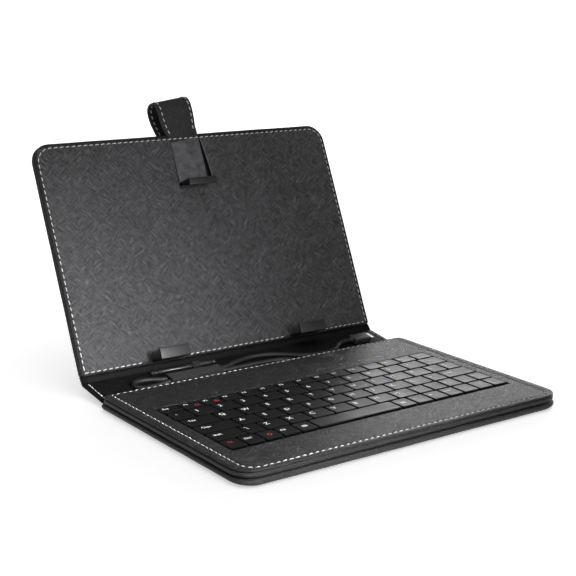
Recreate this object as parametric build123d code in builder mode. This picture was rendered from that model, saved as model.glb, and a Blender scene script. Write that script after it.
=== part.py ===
"""Folding tablet case with a built-in keyboard, standing open.

Units are millimetres. The origin is the centre of the base's underside, +Z is up,
+Y runs from the typist towards the lid and +X is to the typist's right.

Three leather panels are joined by two soft folds: the base with the keyboard, the
spine that holds the lead, and the lid that holds the tablet. A flap on the lid's
back props it up. Panel pieces are drawn on the panel's own plane, where x is the
case's x, y runs up the panel and z stands out of it.
"""

import os
from math import cos, radians, sin

from build123d import *

# Base: outer cover below, keyboard panel above, with a shadow gap between them.
BASE_WIDTH = 211.0
BASE_DEPTH = 136.5
CORNER = 11.0
COVER_HEIGHT = 4.1
PANEL_BOTTOM = 4.6
PANEL_TOP = 8.5
PANEL_BACK_STEP = 2.05
LEATHER = 1.1
SEAM_WIDTH = 0.8
SEAM_HEIGHT = 0.25
HALF_SEAM = 100.0
BASE_SEAM_FRONT = 3.5
BASE_SEAM_BACK = 4.0

# Spine and lid.
COVER_WIDTH = 205.2
SPINE_TILT = 8.4
SPINE_START = 2.2
SPINE_END = 25.0
SPINE_BELOW = -0.15
SPINE_FACE = 2.15
SPINE_FOLD_HEIGHT = 2.0
LID_LEAN = 24.4
LID_SEAM_HEIGHT = 129.6
LID_HEM = 2.0
LID_TOP_MARGIN = 2.8
LID_THICKNESS = 4.8
LID_SEAM_Y = 94.18
LID_SEAM_Z = 12.81
RIM = 4.1

# Holding clips, the sliding band and the strap.
LOWER_CLIP_X = (-47.5, 50.3)
CLIP_WIDTH = 19.5
CLIP_REACH = 11.5
CLIP_WALL = 1.3
LOWER_CLIP_BOTTOM = -1.0
LOWER_LIP = 5.4
UPPER_CLIP_X = -2.0
UPPER_CLIP_TOP = 102.3
UPPER_CLIP_REACH = 10.0
UPPER_LIP = 4.4
BAND_X = (-12.0, 8.0)
BAND_Z = (-1.5, -0.4)
WINDOW_X = (-13.2, 10.8)
WINDOW_BOTTOM = 100.4
STRAP_WIDTH = 24.5
STRAP_X = -3.5
STRAP_THICKNESS = 1.5
STRAP_START = 136.0
PATCH_X = (-10.5, 8.5)
PATCH_Y = (107.0, 124.0)
PATCH_THICKNESS = 0.55

# Prop flap on the lid's back.
FLAP_HINGE_UP_LID = 100.0
FLAP_WIDTH = 80.0
FLAP_THICKNESS = 2.6
FLAP_LENGTH = 103.0
FLAP_LEAN = 5.0

# Keyboard: cell widths in each row, from the front row back. The blank names are
# the ordinary keys, which share their row's node.
FIELD_LEFT = -92.0
FIELD_FRONT = -39.05
ROW_DEPTH = 12.1
TOP_ROW_DEPTH = 10.2
LETTER = 14.35
KEY_ROWS = [
    (
        "bottom_row_keys",
        ROW_DEPTH,
        [("fn_key", 10.6), ("ctrl_key", 10.7), ("", 10.7), ("alt_key", 10.7), ("", 10.8)]
        + [("space_key", 54.8), ("", 11.0), ("", 11.4), ("", 11.3), ("", 10.7)]
        + [("left_arrow_key", 11.3), ("down_arrow_key", 11.0), ("right_arrow_key", 9.8)],
    ),
    (
        "bottom_letter_keys",
        ROW_DEPTH,
        [("shift_key", 19.0), ("", 11.3)]
        + 7 * [("", LETTER)]
        + [("", 10.95), ("", 10.9), ("", 11.0), ("up_arrow_key", 11.0), ("", 10.2)],
    ),
    (
        "home_letter_keys",
        ROW_DEPTH,
        [("caps_lock_key", 23.3)] + 9 * [("", LETTER)] + [("", 11.15), ("enter_key", 21.2)],
    ),
    (
        "top_letter_keys",
        ROW_DEPTH,
        [("tab_key", 19.6)] + 10 * [("", LETTER)] + [("", 11.3), ("", 10.4)],
    ),
    (
        "number_keys",
        ROW_DEPTH,
        [("", 11.95)] + 11 * [("", LETTER)] + [("backspace_key", 15.0)],
    ),
    ("function_keys", TOP_ROW_DEPTH, 15 * [("", 12.32)]),
]
KEY_GAP = 1.3
KEY_CORNER = 0.9
KEY_TOP = 8.9
KEY_SKIRT_BOTTOM = 7.0
KEY_WALL = 0.8
PLUNGER_RADIUS = 1.6
GRID_CLEARANCE = 0.25
TRAY_FLOOR = 0.5
SUPPORT_PLATE = 0.25
MEMBRANE = 0.2
DOME_SHEET = 0.2
DOME_HEIGHT = 1.2
DOME_RADIUS = 2.6
DOME_TAPER = 35
GRID_TOP = 7.35
TRAY_X = (-96.5, 97.3)
TRAY_Y = (-44.3, 61.6)
TRAY_WALL = 1.2
LIGHT_X = (37.1, 50.6, 65.0)
LIGHT_Y = 39.9
LIGHT_SIZE = (5.2, 2.6)

# Lead: its route on the spine's plane, from the gland to the plug's nose.
LEAD_DIAMETER = 2.8
LEAD_ROUTE = [
    (25.4, -2.9, 4.65),
    (22.6, 1.9, 4.35),
    (16.5, 4.9, 3.85),
    (8.0, 5.9, 3.65),
    (-4.0, 6.1, 3.6),
    (-18.0, 5.6, 3.6),
    (-31.0, 5.2, 3.6),
    (-46.0, 5.4, 3.6),
    (-60.0, 5.2, 3.6),
    (-68.5, 3.4, 3.6),
    (-76.07, 2.4, 3.6),
    (-79.0, 5.33, 3.6),
    (-79.0, 9.47, 3.6),
    (-76.07, 12.4, 3.6),
    (-68.5, 11.9, 3.6),
    (-60.0, 8.7, 3.6),
    (-45.0, 8.4, 3.6),
    (-30.0, 8.3, 3.6),
    (-19.0, 8.9, 3.6),
    (-9.5, 12.8, 3.6),
    (2.0, 15.6, 3.6),
    (14.5, 14.6, 3.6),
    (25.5, 9.8, 3.6),
    (34.0, 4.2, 3.6),
    (43.0, 2.6, 3.6),
    (52.0, 2.6, 3.6),
    (59.0, 4.4, 3.7),
    (65.0, 9.8, 3.9),
    (70.5, 11.4, 4.0),
    (74.5, 11.4, 4.0),
]
GLAND_RADIUS = 1.8
GLAND_LENGTH = 5.5
PLUG_X = (77.0, 89.5)
PLUG_Y = (7.4, 15.4)
PLUG_Z = (2.2, 5.8)
SHELL_END = 92.3
SHELL_SIZE = (6.85, 1.8)
KEEPER_X = (-58.0, -23.5)
KEEPER_Y = (2.9, 10.9)
KEEPER_HEIGHT = 3.75
KEEPER_WALL = 0.65

# Stylus and the loop that holds it.
STYLUS_Y = 18.4
STYLUS_RADIUS = 1.35
STYLUS_Z = 3.55
STYLUS_X = (-60.6, -19.6)
STYLUS_TIP = 2.6
LOOP_X = (-36.0, -31.0)
LOOP_WALL = 0.6

BASE_BACK = BASE_DEPTH / 2
PANEL_BACK = BASE_BACK - PANEL_BACK_STEP
FOLD_Y = BASE_BACK + 0.5

spine = Plane(
    origin=(0, FOLD_Y, SPINE_FOLD_HEIGHT),
    x_dir=(1, 0, 0),
    z_dir=(0, -sin(radians(SPINE_TILT)), cos(radians(SPINE_TILT))),
)
lid = Plane(
    origin=(0, LID_SEAM_Y, LID_SEAM_Z),
    x_dir=(1, 0, 0),
    z_dir=(0, -cos(radians(LID_LEAN)), sin(radians(LID_LEAN))),
)
flap = Plane(
    origin=lid.from_local_coords((0, FLAP_HINGE_UP_LID, -LID_THICKNESS - 0.2)),
    x_dir=(1, 0, 0),
    z_dir=(0, cos(radians(FLAP_LEAN)), sin(radians(FLAP_LEAN))),
)


def side_view(panel):
    """The plane across a panel, with x up the panel and y standing out of it."""
    return Plane(origin=panel.origin, x_dir=panel.y_dir, z_dir=(1, 0, 0))


def slab(plane, x, y, z, radii=(0, 0), mode=Mode.ADD):
    """A flat piece from spans along the plane's axes, with radii at its low and high y corners."""
    with BuildSketch(plane.offset(z[0])) as outline:
        with Locations(((x[0] + x[1]) / 2, (y[0] + y[1]) / 2)):
            Rectangle(x[1] - x[0], y[1] - y[0])
        if radii[0]:
            fillet(outline.vertices().group_by(Axis.Y)[0], radii[0])
        if radii[1]:
            fillet(outline.vertices().group_by(Axis.Y)[-1], radii[1])
    extrude(outline.sketch, amount=z[1] - z[0], mode=mode)


def seam_ring(plane, x, y, z, radii):
    """A closed line of thread lying on a panel."""
    half = SEAM_WIDTH / 2
    slab(plane, (x[0] - half, x[1] + half), (y[0] - half, y[1] + half), z, [r + half for r in radii])
    inner = [r - half if r > half else 0 for r in radii]
    slab(plane, (x[0] + half, x[1] - half), (y[0] + half, y[1] - half), z, inner, Mode.SUBTRACT)


def round_rod(plane, start, end, radius, mode=Mode.ADD):
    """A round rod between two points given on the plane."""
    low, high = plane.from_local_coords(start), plane.from_local_coords(end)
    along = Vector(high) - Vector(low)
    with BuildSketch(Plane(origin=low, z_dir=along)) as section:
        Circle(radius)
    extrude(section.sketch, amount=along.length, mode=mode)


def outer_edges(builder, plane, side):
    """The rim edges of a panel's front (side 1) or back (side -1) face."""
    face = builder.faces().sort_by(Axis(plane.origin, plane.z_dir))[-1 if side > 0 else 0]
    return face.outer_wire().edges()


def centred(width, middle=0.0):
    return (middle - width / 2, middle + width / 2)


def grown(span, amount):
    return (span[0] - amount, span[1] + amount)


def key_cells():
    """Each key's node name, row node and cell: x span and y span."""
    cells = []
    front = FIELD_FRONT
    for row_node, depth, keys in KEY_ROWS:
        left = FIELD_LEFT
        for name, width in keys:
            cells.append((name or row_node, (left, left + width), (front, front + depth)))
            left += width
        front += depth
    return cells


CELLS = key_cells()
FIELD_X = (FIELD_LEFT, max(x[1] for _, x, _ in CELLS))
FIELD_Y = (FIELD_FRONT - 1.1, max(y[1] for _, _, y in CELLS) + 0.5)
GRID_X = grown(FIELD_X, 1.8)
GRID_Y = grown(FIELD_Y, 1.8)
pieces = []


def keep(builder, label):
    builder.part.label = label
    pieces.append(builder.part)


# ---- Base: outer cover ----
base_x = centred(BASE_WIDTH)
base_y = centred(BASE_DEPTH)
pocket_x = grown(base_x, -RIM)
pocket_y = (base_y[0] + RIM, PANEL_BACK - RIM)
BOARD_TOP = 3.6

with BuildPart() as base_cover_skin:
    slab(Plane.XY, base_x, base_y, (0, COVER_HEIGHT), (CORNER, 3.0))
    fillet(outer_edges(base_cover_skin, Plane.XY, -1), 1.7)
    fillet(outer_edges(base_cover_skin, Plane.XY, 1), 0.9)
    slab(Plane.XY, pocket_x, pocket_y, (LEATHER, COVER_HEIGHT), (7, 2), Mode.SUBTRACT)
keep(base_cover_skin, "base_cover_skin")

with BuildPart() as base_cover_board:
    slab(Plane.XY, grown(pocket_x, -0.1), grown(pocket_y, -0.1), (LEATHER, BOARD_TOP), (7, 2))
keep(base_cover_board, "base_cover_board")

gland_end = LEAD_ROUTE[0]
gland_run = Vector(*LEAD_ROUTE[0]) - Vector(*LEAD_ROUTE[1])
gland_back = Vector(*gland_end) + gland_run.normalized() * GLAND_LENGTH
gland_past = Vector(*gland_end) + gland_run.normalized() * (GLAND_LENGTH + 0.2)
gland_out = Vector(*gland_end) - gland_run.normalized() * 2.0
BORE_CLEARANCE = 0.05

with BuildPart() as foam_interlayer:
    slab(Plane.XY, grown(pocket_x, -0.1), grown(pocket_y, -0.1), (BOARD_TOP, PANEL_BOTTOM), (7, 2))
    round_rod(spine, gland_out, gland_past, GLAND_RADIUS + BORE_CLEARANCE, Mode.SUBTRACT)
keep(foam_interlayer, "foam_interlayer")

# ---- Base: keyboard panel ----
panel_x = grown(base_x, -0.5)
panel_y = (base_y[0] + 0.3, PANEL_BACK)
bay_x = (TRAY_X[0] - 1.0, TRAY_X[1] + 0.2)
bay_y = (base_y[0] + 6.0, TRAY_Y[1] + 0.2)
bay_ceiling = PANEL_TOP - LEATHER

with BuildPart() as keyboard_surround:
    slab(Plane.XY, panel_x, panel_y, (PANEL_BOTTOM, PANEL_TOP), (CORNER, 3.0))
    fillet(outer_edges(keyboard_surround, Plane.XY, 1), 1.4)
    fillet(outer_edges(keyboard_surround, Plane.XY, -1), 0.8)
    slab(Plane.XY, bay_x, bay_y, (PANEL_BOTTOM, bay_ceiling), (5, 2), Mode.SUBTRACT)
    slab(Plane.XY, FIELD_X, FIELD_Y, (bay_ceiling, PANEL_TOP), (0.6, 0.6), Mode.SUBTRACT)
    for middle in LIGHT_X:
        window_x = centred(LIGHT_SIZE[0] + 0.1, middle)
        window_y = centred(LIGHT_SIZE[1] + 0.1, LIGHT_Y)
        slab(Plane.XY, window_x, window_y, (bay_ceiling, PANEL_TOP), (1.2, 1.2), Mode.SUBTRACT)
    round_rod(spine, gland_out, gland_past, GLAND_RADIUS + BORE_CLEARANCE, Mode.SUBTRACT)
keep(keyboard_surround, "keyboard_surround")

with BuildPart() as palm_rest_board:
    palm_y = (bay_y[0] + 0.1, TRAY_Y[0] - 0.1)
    slab(Plane.XY, grown(bay_x, -0.1), palm_y, (PANEL_BOTTOM, bay_ceiling), (4.9, 0))
keep(palm_rest_board, "palm_rest_board")

with BuildPart() as base_stitching:
    seam_y = (base_y[0] + BASE_SEAM_FRONT, base_y[1] - BASE_SEAM_BACK)
    seam_z = (PANEL_TOP, PANEL_TOP + SEAM_HEIGHT)
    seam_ring(Plane.XY, centred(2 * HALF_SEAM), seam_y, seam_z, (8.0, 1.0))
keep(base_stitching, "base_stitching")

# ---- Base: keyboard module ----
plate_bottom = PANEL_BOTTOM + TRAY_FLOOR
membrane_bottom = plate_bottom + SUPPORT_PLATE
domes_bottom = membrane_bottom + MEMBRANE
domes_top = domes_bottom + DOME_SHEET
cavity_x = grown(TRAY_X, -TRAY_WALL)
cavity_y = grown(TRAY_Y, -TRAY_WALL)
circuit_x = (20.0, 82.0)
circuit_y = (GRID_Y[1] + 1.0, cavity_y[1] - 4.5)
circuit_z = (PANEL_BOTTOM + 1.0, PANEL_BOTTOM + 1.8)

with BuildPart() as keyboard_tray:
    slab(Plane.XY, TRAY_X, TRAY_Y, (PANEL_BOTTOM, GRID_TOP), (2, 2))
    slab(Plane.XY, cavity_x, cavity_y, (plate_bottom, GRID_TOP), (1, 1), Mode.SUBTRACT)
    for rib in (circuit_x[0] + 4, sum(circuit_x) / 2, circuit_x[1] - 4):
        slab(Plane.XY, centred(1.5, rib), circuit_y, (plate_bottom, circuit_z[0]))
    round_rod(spine, gland_out, gland_past, GLAND_RADIUS + BORE_CLEARANCE, Mode.SUBTRACT)
keep(keyboard_tray, "keyboard_tray")

with BuildPart() as support_plate:
    slab(Plane.XY, GRID_X, GRID_Y, (plate_bottom, membrane_bottom), (0.5, 0.5))
keep(support_plate, "support_plate")

with BuildPart() as contact_membrane:
    slab(Plane.XY, GRID_X, GRID_Y, (membrane_bottom, domes_bottom), (0.5, 0.5))
    tail_y = (GRID_Y[1] - 1, circuit_y[0] + 5)
    slab(Plane.XY, centred(12, circuit_x[0] + 13), tail_y, (membrane_bottom, domes_bottom))
keep(contact_membrane, "contact_membrane")

with BuildPart() as dome_sheet:
    slab(Plane.XY, GRID_X, GRID_Y, (domes_bottom, domes_top), (0.5, 0.5))
    with BuildSketch(Plane.XY.offset(domes_top)):
        with Locations(*[(sum(x) / 2, sum(y) / 2) for _, x, y in CELLS]):
            Circle(DOME_RADIUS)
    extrude(amount=DOME_HEIGHT, taper=DOME_TAPER)
keep(dome_sheet, "dome_sheet")

with BuildPart() as key_grid:
    slab(Plane.XY, GRID_X, GRID_Y, (domes_top, GRID_TOP), (0.5, 0.5))
    with BuildSketch(Plane.XY.offset(domes_top)):
        for _, x, y in CELLS:
            with Locations((sum(x) / 2, sum(y) / 2)):
                hole = 2 * GRID_CLEARANCE - KEY_GAP
                RectangleRounded(x[1] - x[0] + hole, y[1] - y[0] + hole, KEY_CORNER)
    extrude(amount=GRID_TOP - domes_top, mode=Mode.SUBTRACT)
keep(key_grid, "key_grid")


def key_cap(x, y):
    """One hollow key cap with the plunger that rests on its dome."""
    cap_x, cap_y = grown(x, -KEY_GAP / 2), grown(y, -KEY_GAP / 2)
    with BuildPart() as cap:
        slab(Plane.XY, cap_x, cap_y, (KEY_SKIRT_BOTTOM, KEY_TOP), (KEY_CORNER, KEY_CORNER))
        fillet(outer_edges(cap, Plane.XY, 1), 0.25)
        hollow = (KEY_SKIRT_BOTTOM, KEY_TOP - KEY_WALL)
        inner_x, inner_y = grown(cap_x, -KEY_WALL), grown(cap_y, -KEY_WALL)
        slab(Plane.XY, inner_x, inner_y, hollow, (0.3, 0.3), Mode.SUBTRACT)
        middle = (sum(x) / 2, sum(y) / 2, hollow[0])
        round_rod(Plane.XY, middle, (middle[0], middle[1], hollow[1]), PLUNGER_RADIUS)
    return cap.part


for node in dict.fromkeys(name for name, _, _ in CELLS):
    caps = [key_cap(x, y) for name, x, y in CELLS if name == node]
    with BuildPart() as key:
        for cap in caps:
            add(cap)
    keep(key, node)

# ---- Base: electronics and indicator lights ----
with BuildPart() as controller_board:
    slab(Plane.XY, circuit_x, circuit_y, circuit_z, (0.5, 0.5))
keep(controller_board, "controller_board")

with BuildPart() as board_components:
    chip_y = centred(7, sum(circuit_y) / 2 + 2)
    slab(Plane.XY, centred(7, circuit_x[0] + 8), chip_y, (circuit_z[1], circuit_z[1] + 0.8))
    crystal_z = (circuit_z[1], circuit_z[1] + 0.7)
    slab(Plane.XY, centred(3.2, circuit_x[0] + 36), centred(1.5, chip_y[1]), crystal_z)
    for middle in LIGHT_X:
        light_z = (circuit_z[1], circuit_z[1] + 0.5)
        slab(Plane.XY, centred(1.6, middle), centred(0.8, LIGHT_Y), light_z)
keep(board_components, "board_components")

with BuildPart() as led_windows:
    for middle in LIGHT_X:
        lens_x, lens_y = centred(LIGHT_SIZE[0], middle), centred(LIGHT_SIZE[1], LIGHT_Y)
        slab(Plane.XY, lens_x, lens_y, (GRID_TOP, PANEL_TOP + 0.1), (1.2, 1.2))
keep(led_windows, "led_windows")

with BuildPart() as cable_gland:
    round_rod(spine, gland_end, gland_back, GLAND_RADIUS)
keep(cable_gland, "cable_gland")

# ---- Spine ----
spine_x = centred(COVER_WIDTH)
spine_y = (SPINE_START, SPINE_END)
LINING = 0.8
CARD = 0.6
card_x = grown(spine_x, -RIM)
card_y = grown(spine_y, -1.8)
lining_z = (SPINE_FACE - LINING, SPINE_FACE)
card_z = (SPINE_FACE - LINING - CARD, SPINE_FACE - LINING)

with BuildPart() as spine_skin:
    slab(spine, spine_x, spine_y, (SPINE_BELOW, SPINE_FACE))
    fillet(outer_edges(spine_skin, spine, -1), 0.5)
    slab(spine, grown(spine_x, -0.5), grown(spine_y, -0.5), lining_z, mode=Mode.SUBTRACT)
    slab(spine, card_x, card_y, card_z, mode=Mode.SUBTRACT)
keep(spine_skin, "spine_skin")

with BuildPart() as spine_board:
    slab(spine, grown(card_x, -0.1), grown(card_y, -0.1), card_z)
keep(spine_board, "spine_board")

with BuildPart() as spine_lining:
    slab(spine, grown(spine_x, -0.6), grown(spine_y, -0.6), lining_z)
keep(spine_lining, "spine_lining")

# ---- Lead and plug ----
route = [Vector(spine.from_local_coords(point)) for point in LEAD_ROUTE]
radii = []
for before, corner, after in zip(route, route[1:], route[2:]):
    turn = radians((corner - before).get_angle(after - corner))
    shorter = min((corner - before).length, (after - corner).length)
    radii.append(0.45 * shorter * (1 + cos(turn)) / sin(turn))
print("lead radii, mm:", [round(r, 1) for r in radii])

with BuildPart() as usb_cable:
    with BuildLine() as lead_path:
        FilletPolyline(*route, radius=radii)
    with BuildSketch(Plane(origin=route[0], z_dir=route[1] - route[0])) as lead_section:
        Circle(LEAD_DIAMETER / 2)
    sweep(sections=lead_section.sketch, path=lead_path.wire())
keep(usb_cable, "usb_cable")
lead_length = lead_path.wire().length
lead_area = lead_section.sketch.area
print("lead length, mm:", round(lead_length, 1))
print("volume over section times length:", usb_cable.part.volume / lead_length / lead_area)

with BuildPart() as usb_plug_body:
    slab(spine, PLUG_X, PLUG_Y, PLUG_Z)
    fillet(usb_plug_body.edges(), 0.8)
    nose = LEAD_ROUTE[-1]
    round_rod(spine, nose, (PLUG_X[0] + 1, nose[1], nose[2]), LEAD_DIAMETER / 2 + 0.2)
    middle_z = sum(PLUG_Z) / 2
    shell_y = centred(SHELL_SIZE[0], sum(PLUG_Y) / 2)
    shell_z = centred(SHELL_SIZE[1], middle_z)
    slab(spine, (PLUG_X[1] - 4, PLUG_X[1]), shell_y, shell_z, mode=Mode.SUBTRACT)
keep(usb_plug_body, "usb_plug_body")

with BuildPart() as usb_plug_shell:
    slab(spine, (PLUG_X[1] - 4, SHELL_END), shell_y, shell_z)
    slab(spine, (PLUG_X[1] + 1, SHELL_END), grown(shell_y, -0.3), grown(shell_z, -0.3), mode=Mode.SUBTRACT)
    tongue_y, tongue_z = grown(shell_y, -1.2), centred(0.5, middle_z)
    slab(spine, (PLUG_X[1] + 0.5, SHELL_END - 0.6), tongue_y, tongue_z)
keep(usb_plug_shell, "usb_plug_shell")


def arch(plane, x, y, height, wall, corner):
    """A band sewn down at both sides with a tunnel under it."""
    foot = SPINE_FACE
    with BuildSketch(side_view(plane).offset(x[0])) as section:
        with Locations(((y[0] + y[1]) / 2, foot + height / 2)):
            Rectangle(y[1] - y[0], height)
        fillet(section.vertices().group_by(Axis.Y)[-1], corner)
        with Locations(((y[0] + y[1]) / 2, foot + (height - wall) / 2)):
            Rectangle(y[1] - y[0] - 2 * wall, height - wall, mode=Mode.SUBTRACT)
    extrude(section.sketch, amount=x[1] - x[0])


with BuildPart() as cable_strap:
    arch(spine, KEEPER_X, KEEPER_Y, KEEPER_HEIGHT, KEEPER_WALL, 0.6)
keep(cable_strap, "cable_strap")

# ---- Stylus ----
with BuildPart() as stylus_barrel:
    round_rod(spine, (STYLUS_X[0], STYLUS_Y, STYLUS_Z), (STYLUS_X[1], STYLUS_Y, STYLUS_Z), STYLUS_RADIUS)
    fillet(stylus_barrel.edges().sort_by(Axis.X)[-1], 0.5)
keep(stylus_barrel, "stylus_barrel")

with BuildPart() as stylus_tip:
    tip_start = (STYLUS_X[0] - STYLUS_TIP, STYLUS_Y, STYLUS_Z)
    round_rod(spine, tip_start, (STYLUS_X[0], STYLUS_Y, STYLUS_Z), STYLUS_RADIUS)
    fillet(stylus_tip.edges().sort_by(Axis.X)[0], STYLUS_RADIUS - 0.1)
keep(stylus_tip, "stylus_tip")

with BuildPart() as stylus_loop:
    loop_height = STYLUS_Z + STYLUS_RADIUS + 0.1 + LOOP_WALL - SPINE_FACE
    loop_y = centred(2 * (STYLUS_RADIUS + 0.15 + LOOP_WALL), STYLUS_Y)
    arch(spine, LOOP_X, loop_y, loop_height, LOOP_WALL, 0.5)
keep(stylus_loop, "stylus_loop")

# ---- Lid ----
lid_x = centred(COVER_WIDTH)
lid_y = (-LID_HEM, LID_SEAM_HEIGHT + LID_TOP_MARGIN)
lid_z = (-LID_THICKNESS, 0)
lid_lining_z = (-1.0, 0)
lid_board_x = grown(lid_x, -RIM)
lid_board_y = (1.5, 128.5)
lid_board_z = (-LID_THICKNESS + 0.9, -1.0)
foot_z = (-2.2, -1.0)
upper_foot_z = (-2.2, -1.1)
channel_z = (upper_foot_z[0] - 0.15, -1.0)
foot_y = (LOWER_CLIP_BOTTOM, 12.0)
UPPER_FOOT_Y = (94.0, UPPER_CLIP_TOP)

with BuildPart() as lid_back_skin:
    slab(lid, lid_x, lid_y, lid_z, (2.5, CORNER))
    fillet(outer_edges(lid_back_skin, lid, -1), 1.8)
    fillet(outer_edges(lid_back_skin, lid, 1), 0.4)
    slab(lid, grown(lid_x, -0.7), grown(lid_y, -0.7), lid_lining_z, (1.8, 10.3), Mode.SUBTRACT)
    slab(lid, lid_board_x, lid_board_y, lid_board_z, (2, 7), Mode.SUBTRACT)
    band_gap_z = (BAND_Z[0] - 0.15, 0.5)
    slab(lid, grown(BAND_X, 0.4), (lid_board_y[1] - 5, lid_y[1] + 1), band_gap_z, mode=Mode.SUBTRACT)
    for middle in LOWER_CLIP_X:
        notch_x = centred(CLIP_WIDTH + 0.2, middle)
        slab(lid, notch_x, (foot_y[0] - 0.1, 4), (foot_z[0] - 0.1, 0.5), mode=Mode.SUBTRACT)
keep(lid_back_skin, "lid_back_skin")

with BuildPart() as lid_board:
    slab(lid, grown(lid_board_x, -0.1), grown(lid_board_y, -0.1), lid_board_z, (2, 7))
    channel_y = (UPPER_FOOT_Y[0] - 0.5, lid_board_y[1] + 1)
    slab(lid, grown(WINDOW_X, 0.2), channel_y, channel_z, mode=Mode.SUBTRACT)
    for middle in LOWER_CLIP_X:
        seat_x = centred(CLIP_WIDTH + 0.2, middle)
        slab(lid, seat_x, (0, foot_y[1] + 0.2), (foot_z[0] - 0.1, -0.9), mode=Mode.SUBTRACT)
keep(lid_board, "lid_board")

with BuildPart() as lid_lining:
    slab(lid, grown(lid_x, -0.8), grown(lid_y, -0.8), lid_lining_z, (1.7, 10.2))
    window_y = (WINDOW_BOTTOM, lid_y[1])
    slab(lid, WINDOW_X, window_y, grown(lid_lining_z, 0.1), (0.8, 0), Mode.SUBTRACT)
    for middle in LOWER_CLIP_X:
        notch_x = centred(CLIP_WIDTH + 1.6, middle)
        slab(lid, notch_x, (-3, 1.3), grown(lid_lining_z, 0.1), (0, 0.8), Mode.SUBTRACT)
keep(lid_lining, "lid_lining")

with BuildPart() as lid_stitching:
    seam_ring(lid, centred(2 * HALF_SEAM), (0, LID_SEAM_HEIGHT), (0, SEAM_HEIGHT), (0, 9.0))
    for middle in LOWER_CLIP_X:
        slab(lid, centred(CLIP_WIDTH + 4, middle), (-2, 2), (-0.1, 1), mode=Mode.SUBTRACT)
keep(lid_stitching, "lid_stitching")

with BuildPart() as cover_patch:
    slab(lid, PATCH_X, PATCH_Y, (-LID_THICKNESS - PATCH_THICKNESS, -LID_THICKNESS), (1, 1))
keep(cover_patch, "cover_patch")


def clip(x, foot, shelf, lip, foot_plate, reach):
    """A hooked clip: a foot under the lining, a shelf that stands out and a lip along its edge."""
    slab(lid, x, foot, foot_plate, (0.5, 0.5))
    slab(lid, x, shelf, (foot_plate[0], reach))
    slab(lid, x, lip, (reach - CLIP_WALL, reach))


for side, middle in zip(("left", "right"), LOWER_CLIP_X):
    with BuildPart() as lower_clip:
        shelf_y = (LOWER_CLIP_BOTTOM, LOWER_CLIP_BOTTOM + CLIP_WALL)
        lip_y = (LOWER_CLIP_BOTTOM, LOWER_CLIP_BOTTOM + LOWER_LIP)
        clip(centred(CLIP_WIDTH, middle), foot_y, shelf_y, lip_y, foot_z, CLIP_REACH)
        fillet(outer_edges(lower_clip, lid, 1), 0.4)
    keep(lower_clip, f"lower_clip_{side}")

# ---- Sliding clip, band and strap ----
with BuildPart() as upper_clip:
    shelf_y = (UPPER_CLIP_TOP - CLIP_WALL, UPPER_CLIP_TOP)
    lip_y = (UPPER_CLIP_TOP - UPPER_LIP, UPPER_CLIP_TOP)
    upper_x = centred(CLIP_WIDTH, UPPER_CLIP_X)
    clip(upper_x, UPPER_FOOT_Y, shelf_y, lip_y, upper_foot_z, UPPER_CLIP_REACH)
    fillet(outer_edges(upper_clip, lid, 1), 0.4)
keep(upper_clip, "upper_clip")

with BuildPart() as clip_band:
    slab(lid, BAND_X, (UPPER_CLIP_TOP, STRAP_START), BAND_Z)
keep(clip_band, "clip_band")

strap_middle = -LID_THICKNESS - 2 * PATCH_THICKNESS - 0.05 - STRAP_THICKNESS / 2
strap_route = [
    (STRAP_START, sum(BAND_Z) / 2),
    (140.0, sum(BAND_Z) / 2),
    (154.4, 2.4),
    (154.4, -10.6),
    (138.0, -10.2),
    (127.0, strap_middle),
    (PATCH_Y[0], strap_middle),
]
with BuildPart() as closing_strap:
    with BuildSketch(side_view(lid).offset(STRAP_X - STRAP_WIDTH / 2)) as strap_side:
        with BuildLine() as strap_path:
            FilletPolyline(*strap_route, radius=[12, 5.2, 5.2, 12, 12])
        trace(strap_path.wire(), line_width=STRAP_THICKNESS)
    extrude(strap_side.sketch, amount=STRAP_WIDTH)
keep(closing_strap, "closing_strap")

with BuildPart() as strap_patch:
    patch_z = strap_middle + STRAP_THICKNESS / 2
    slab(lid, PATCH_X, PATCH_Y, (patch_z, patch_z + PATCH_THICKNESS), (1, 1))
keep(strap_patch, "strap_patch")

# ---- Prop flap ----
flap_x = centred(FLAP_WIDTH)
flap_y = (1.2, FLAP_LENGTH)
flap_core_x = grown(flap_x, -3)
flap_core_y = (flap_y[0] + 2, FLAP_LENGTH - 4)
flap_core_z = (0.7, FLAP_THICKNESS - 0.7)

with BuildPart() as kickstand_skin:
    slab(flap, flap_x, flap_y, (0, FLAP_THICKNESS), (3, 0))
    slab(flap, flap_core_x, flap_core_y, (flap_core_z[0], FLAP_THICKNESS), mode=Mode.SUBTRACT)
    split(bisect_by=Plane.XY, keep=Keep.TOP)
keep(kickstand_skin, "kickstand_skin")

with BuildPart() as kickstand_board:
    slab(flap, grown(flap_core_x, -0.1), grown(flap_core_y, -0.1), (flap_core_z[0], FLAP_THICKNESS))
keep(kickstand_board, "kickstand_board")

# ---- Soft leather folds ----
section_yz = Plane(origin=(0, 0, 0), x_dir=(0, 1, 0), z_dir=(1, 0, 0))


def across(panel, up, out):
    """A point of a panel's side view, in case y and z."""
    point = panel.from_local_coords((0, up, out))
    return (point.Y, point.Z) if isinstance(point, Vector) else (point[1], point[2])


def fold(width, outline):
    """A soft leather hinge of one section right across the case."""
    with BuildSketch(section_yz.offset(-width / 2)) as section:
        with BuildLine():
            Polyline(*outline, close=True)
        make_face()
    extrude(section.sketch, amount=width)


with BuildPart() as fold_leather_front:
    front_outline = [
        (BASE_BACK, 1.8),
        across(spine, SPINE_START, SPINE_BELOW + 0.5),
        across(spine, SPINE_START, SPINE_FACE),
        (BASE_BACK, COVER_HEIGHT - 0.9),
    ]
    fold(COVER_WIDTH - 1.2, front_outline)
keep(fold_leather_front, "fold_leather_front")

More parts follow.
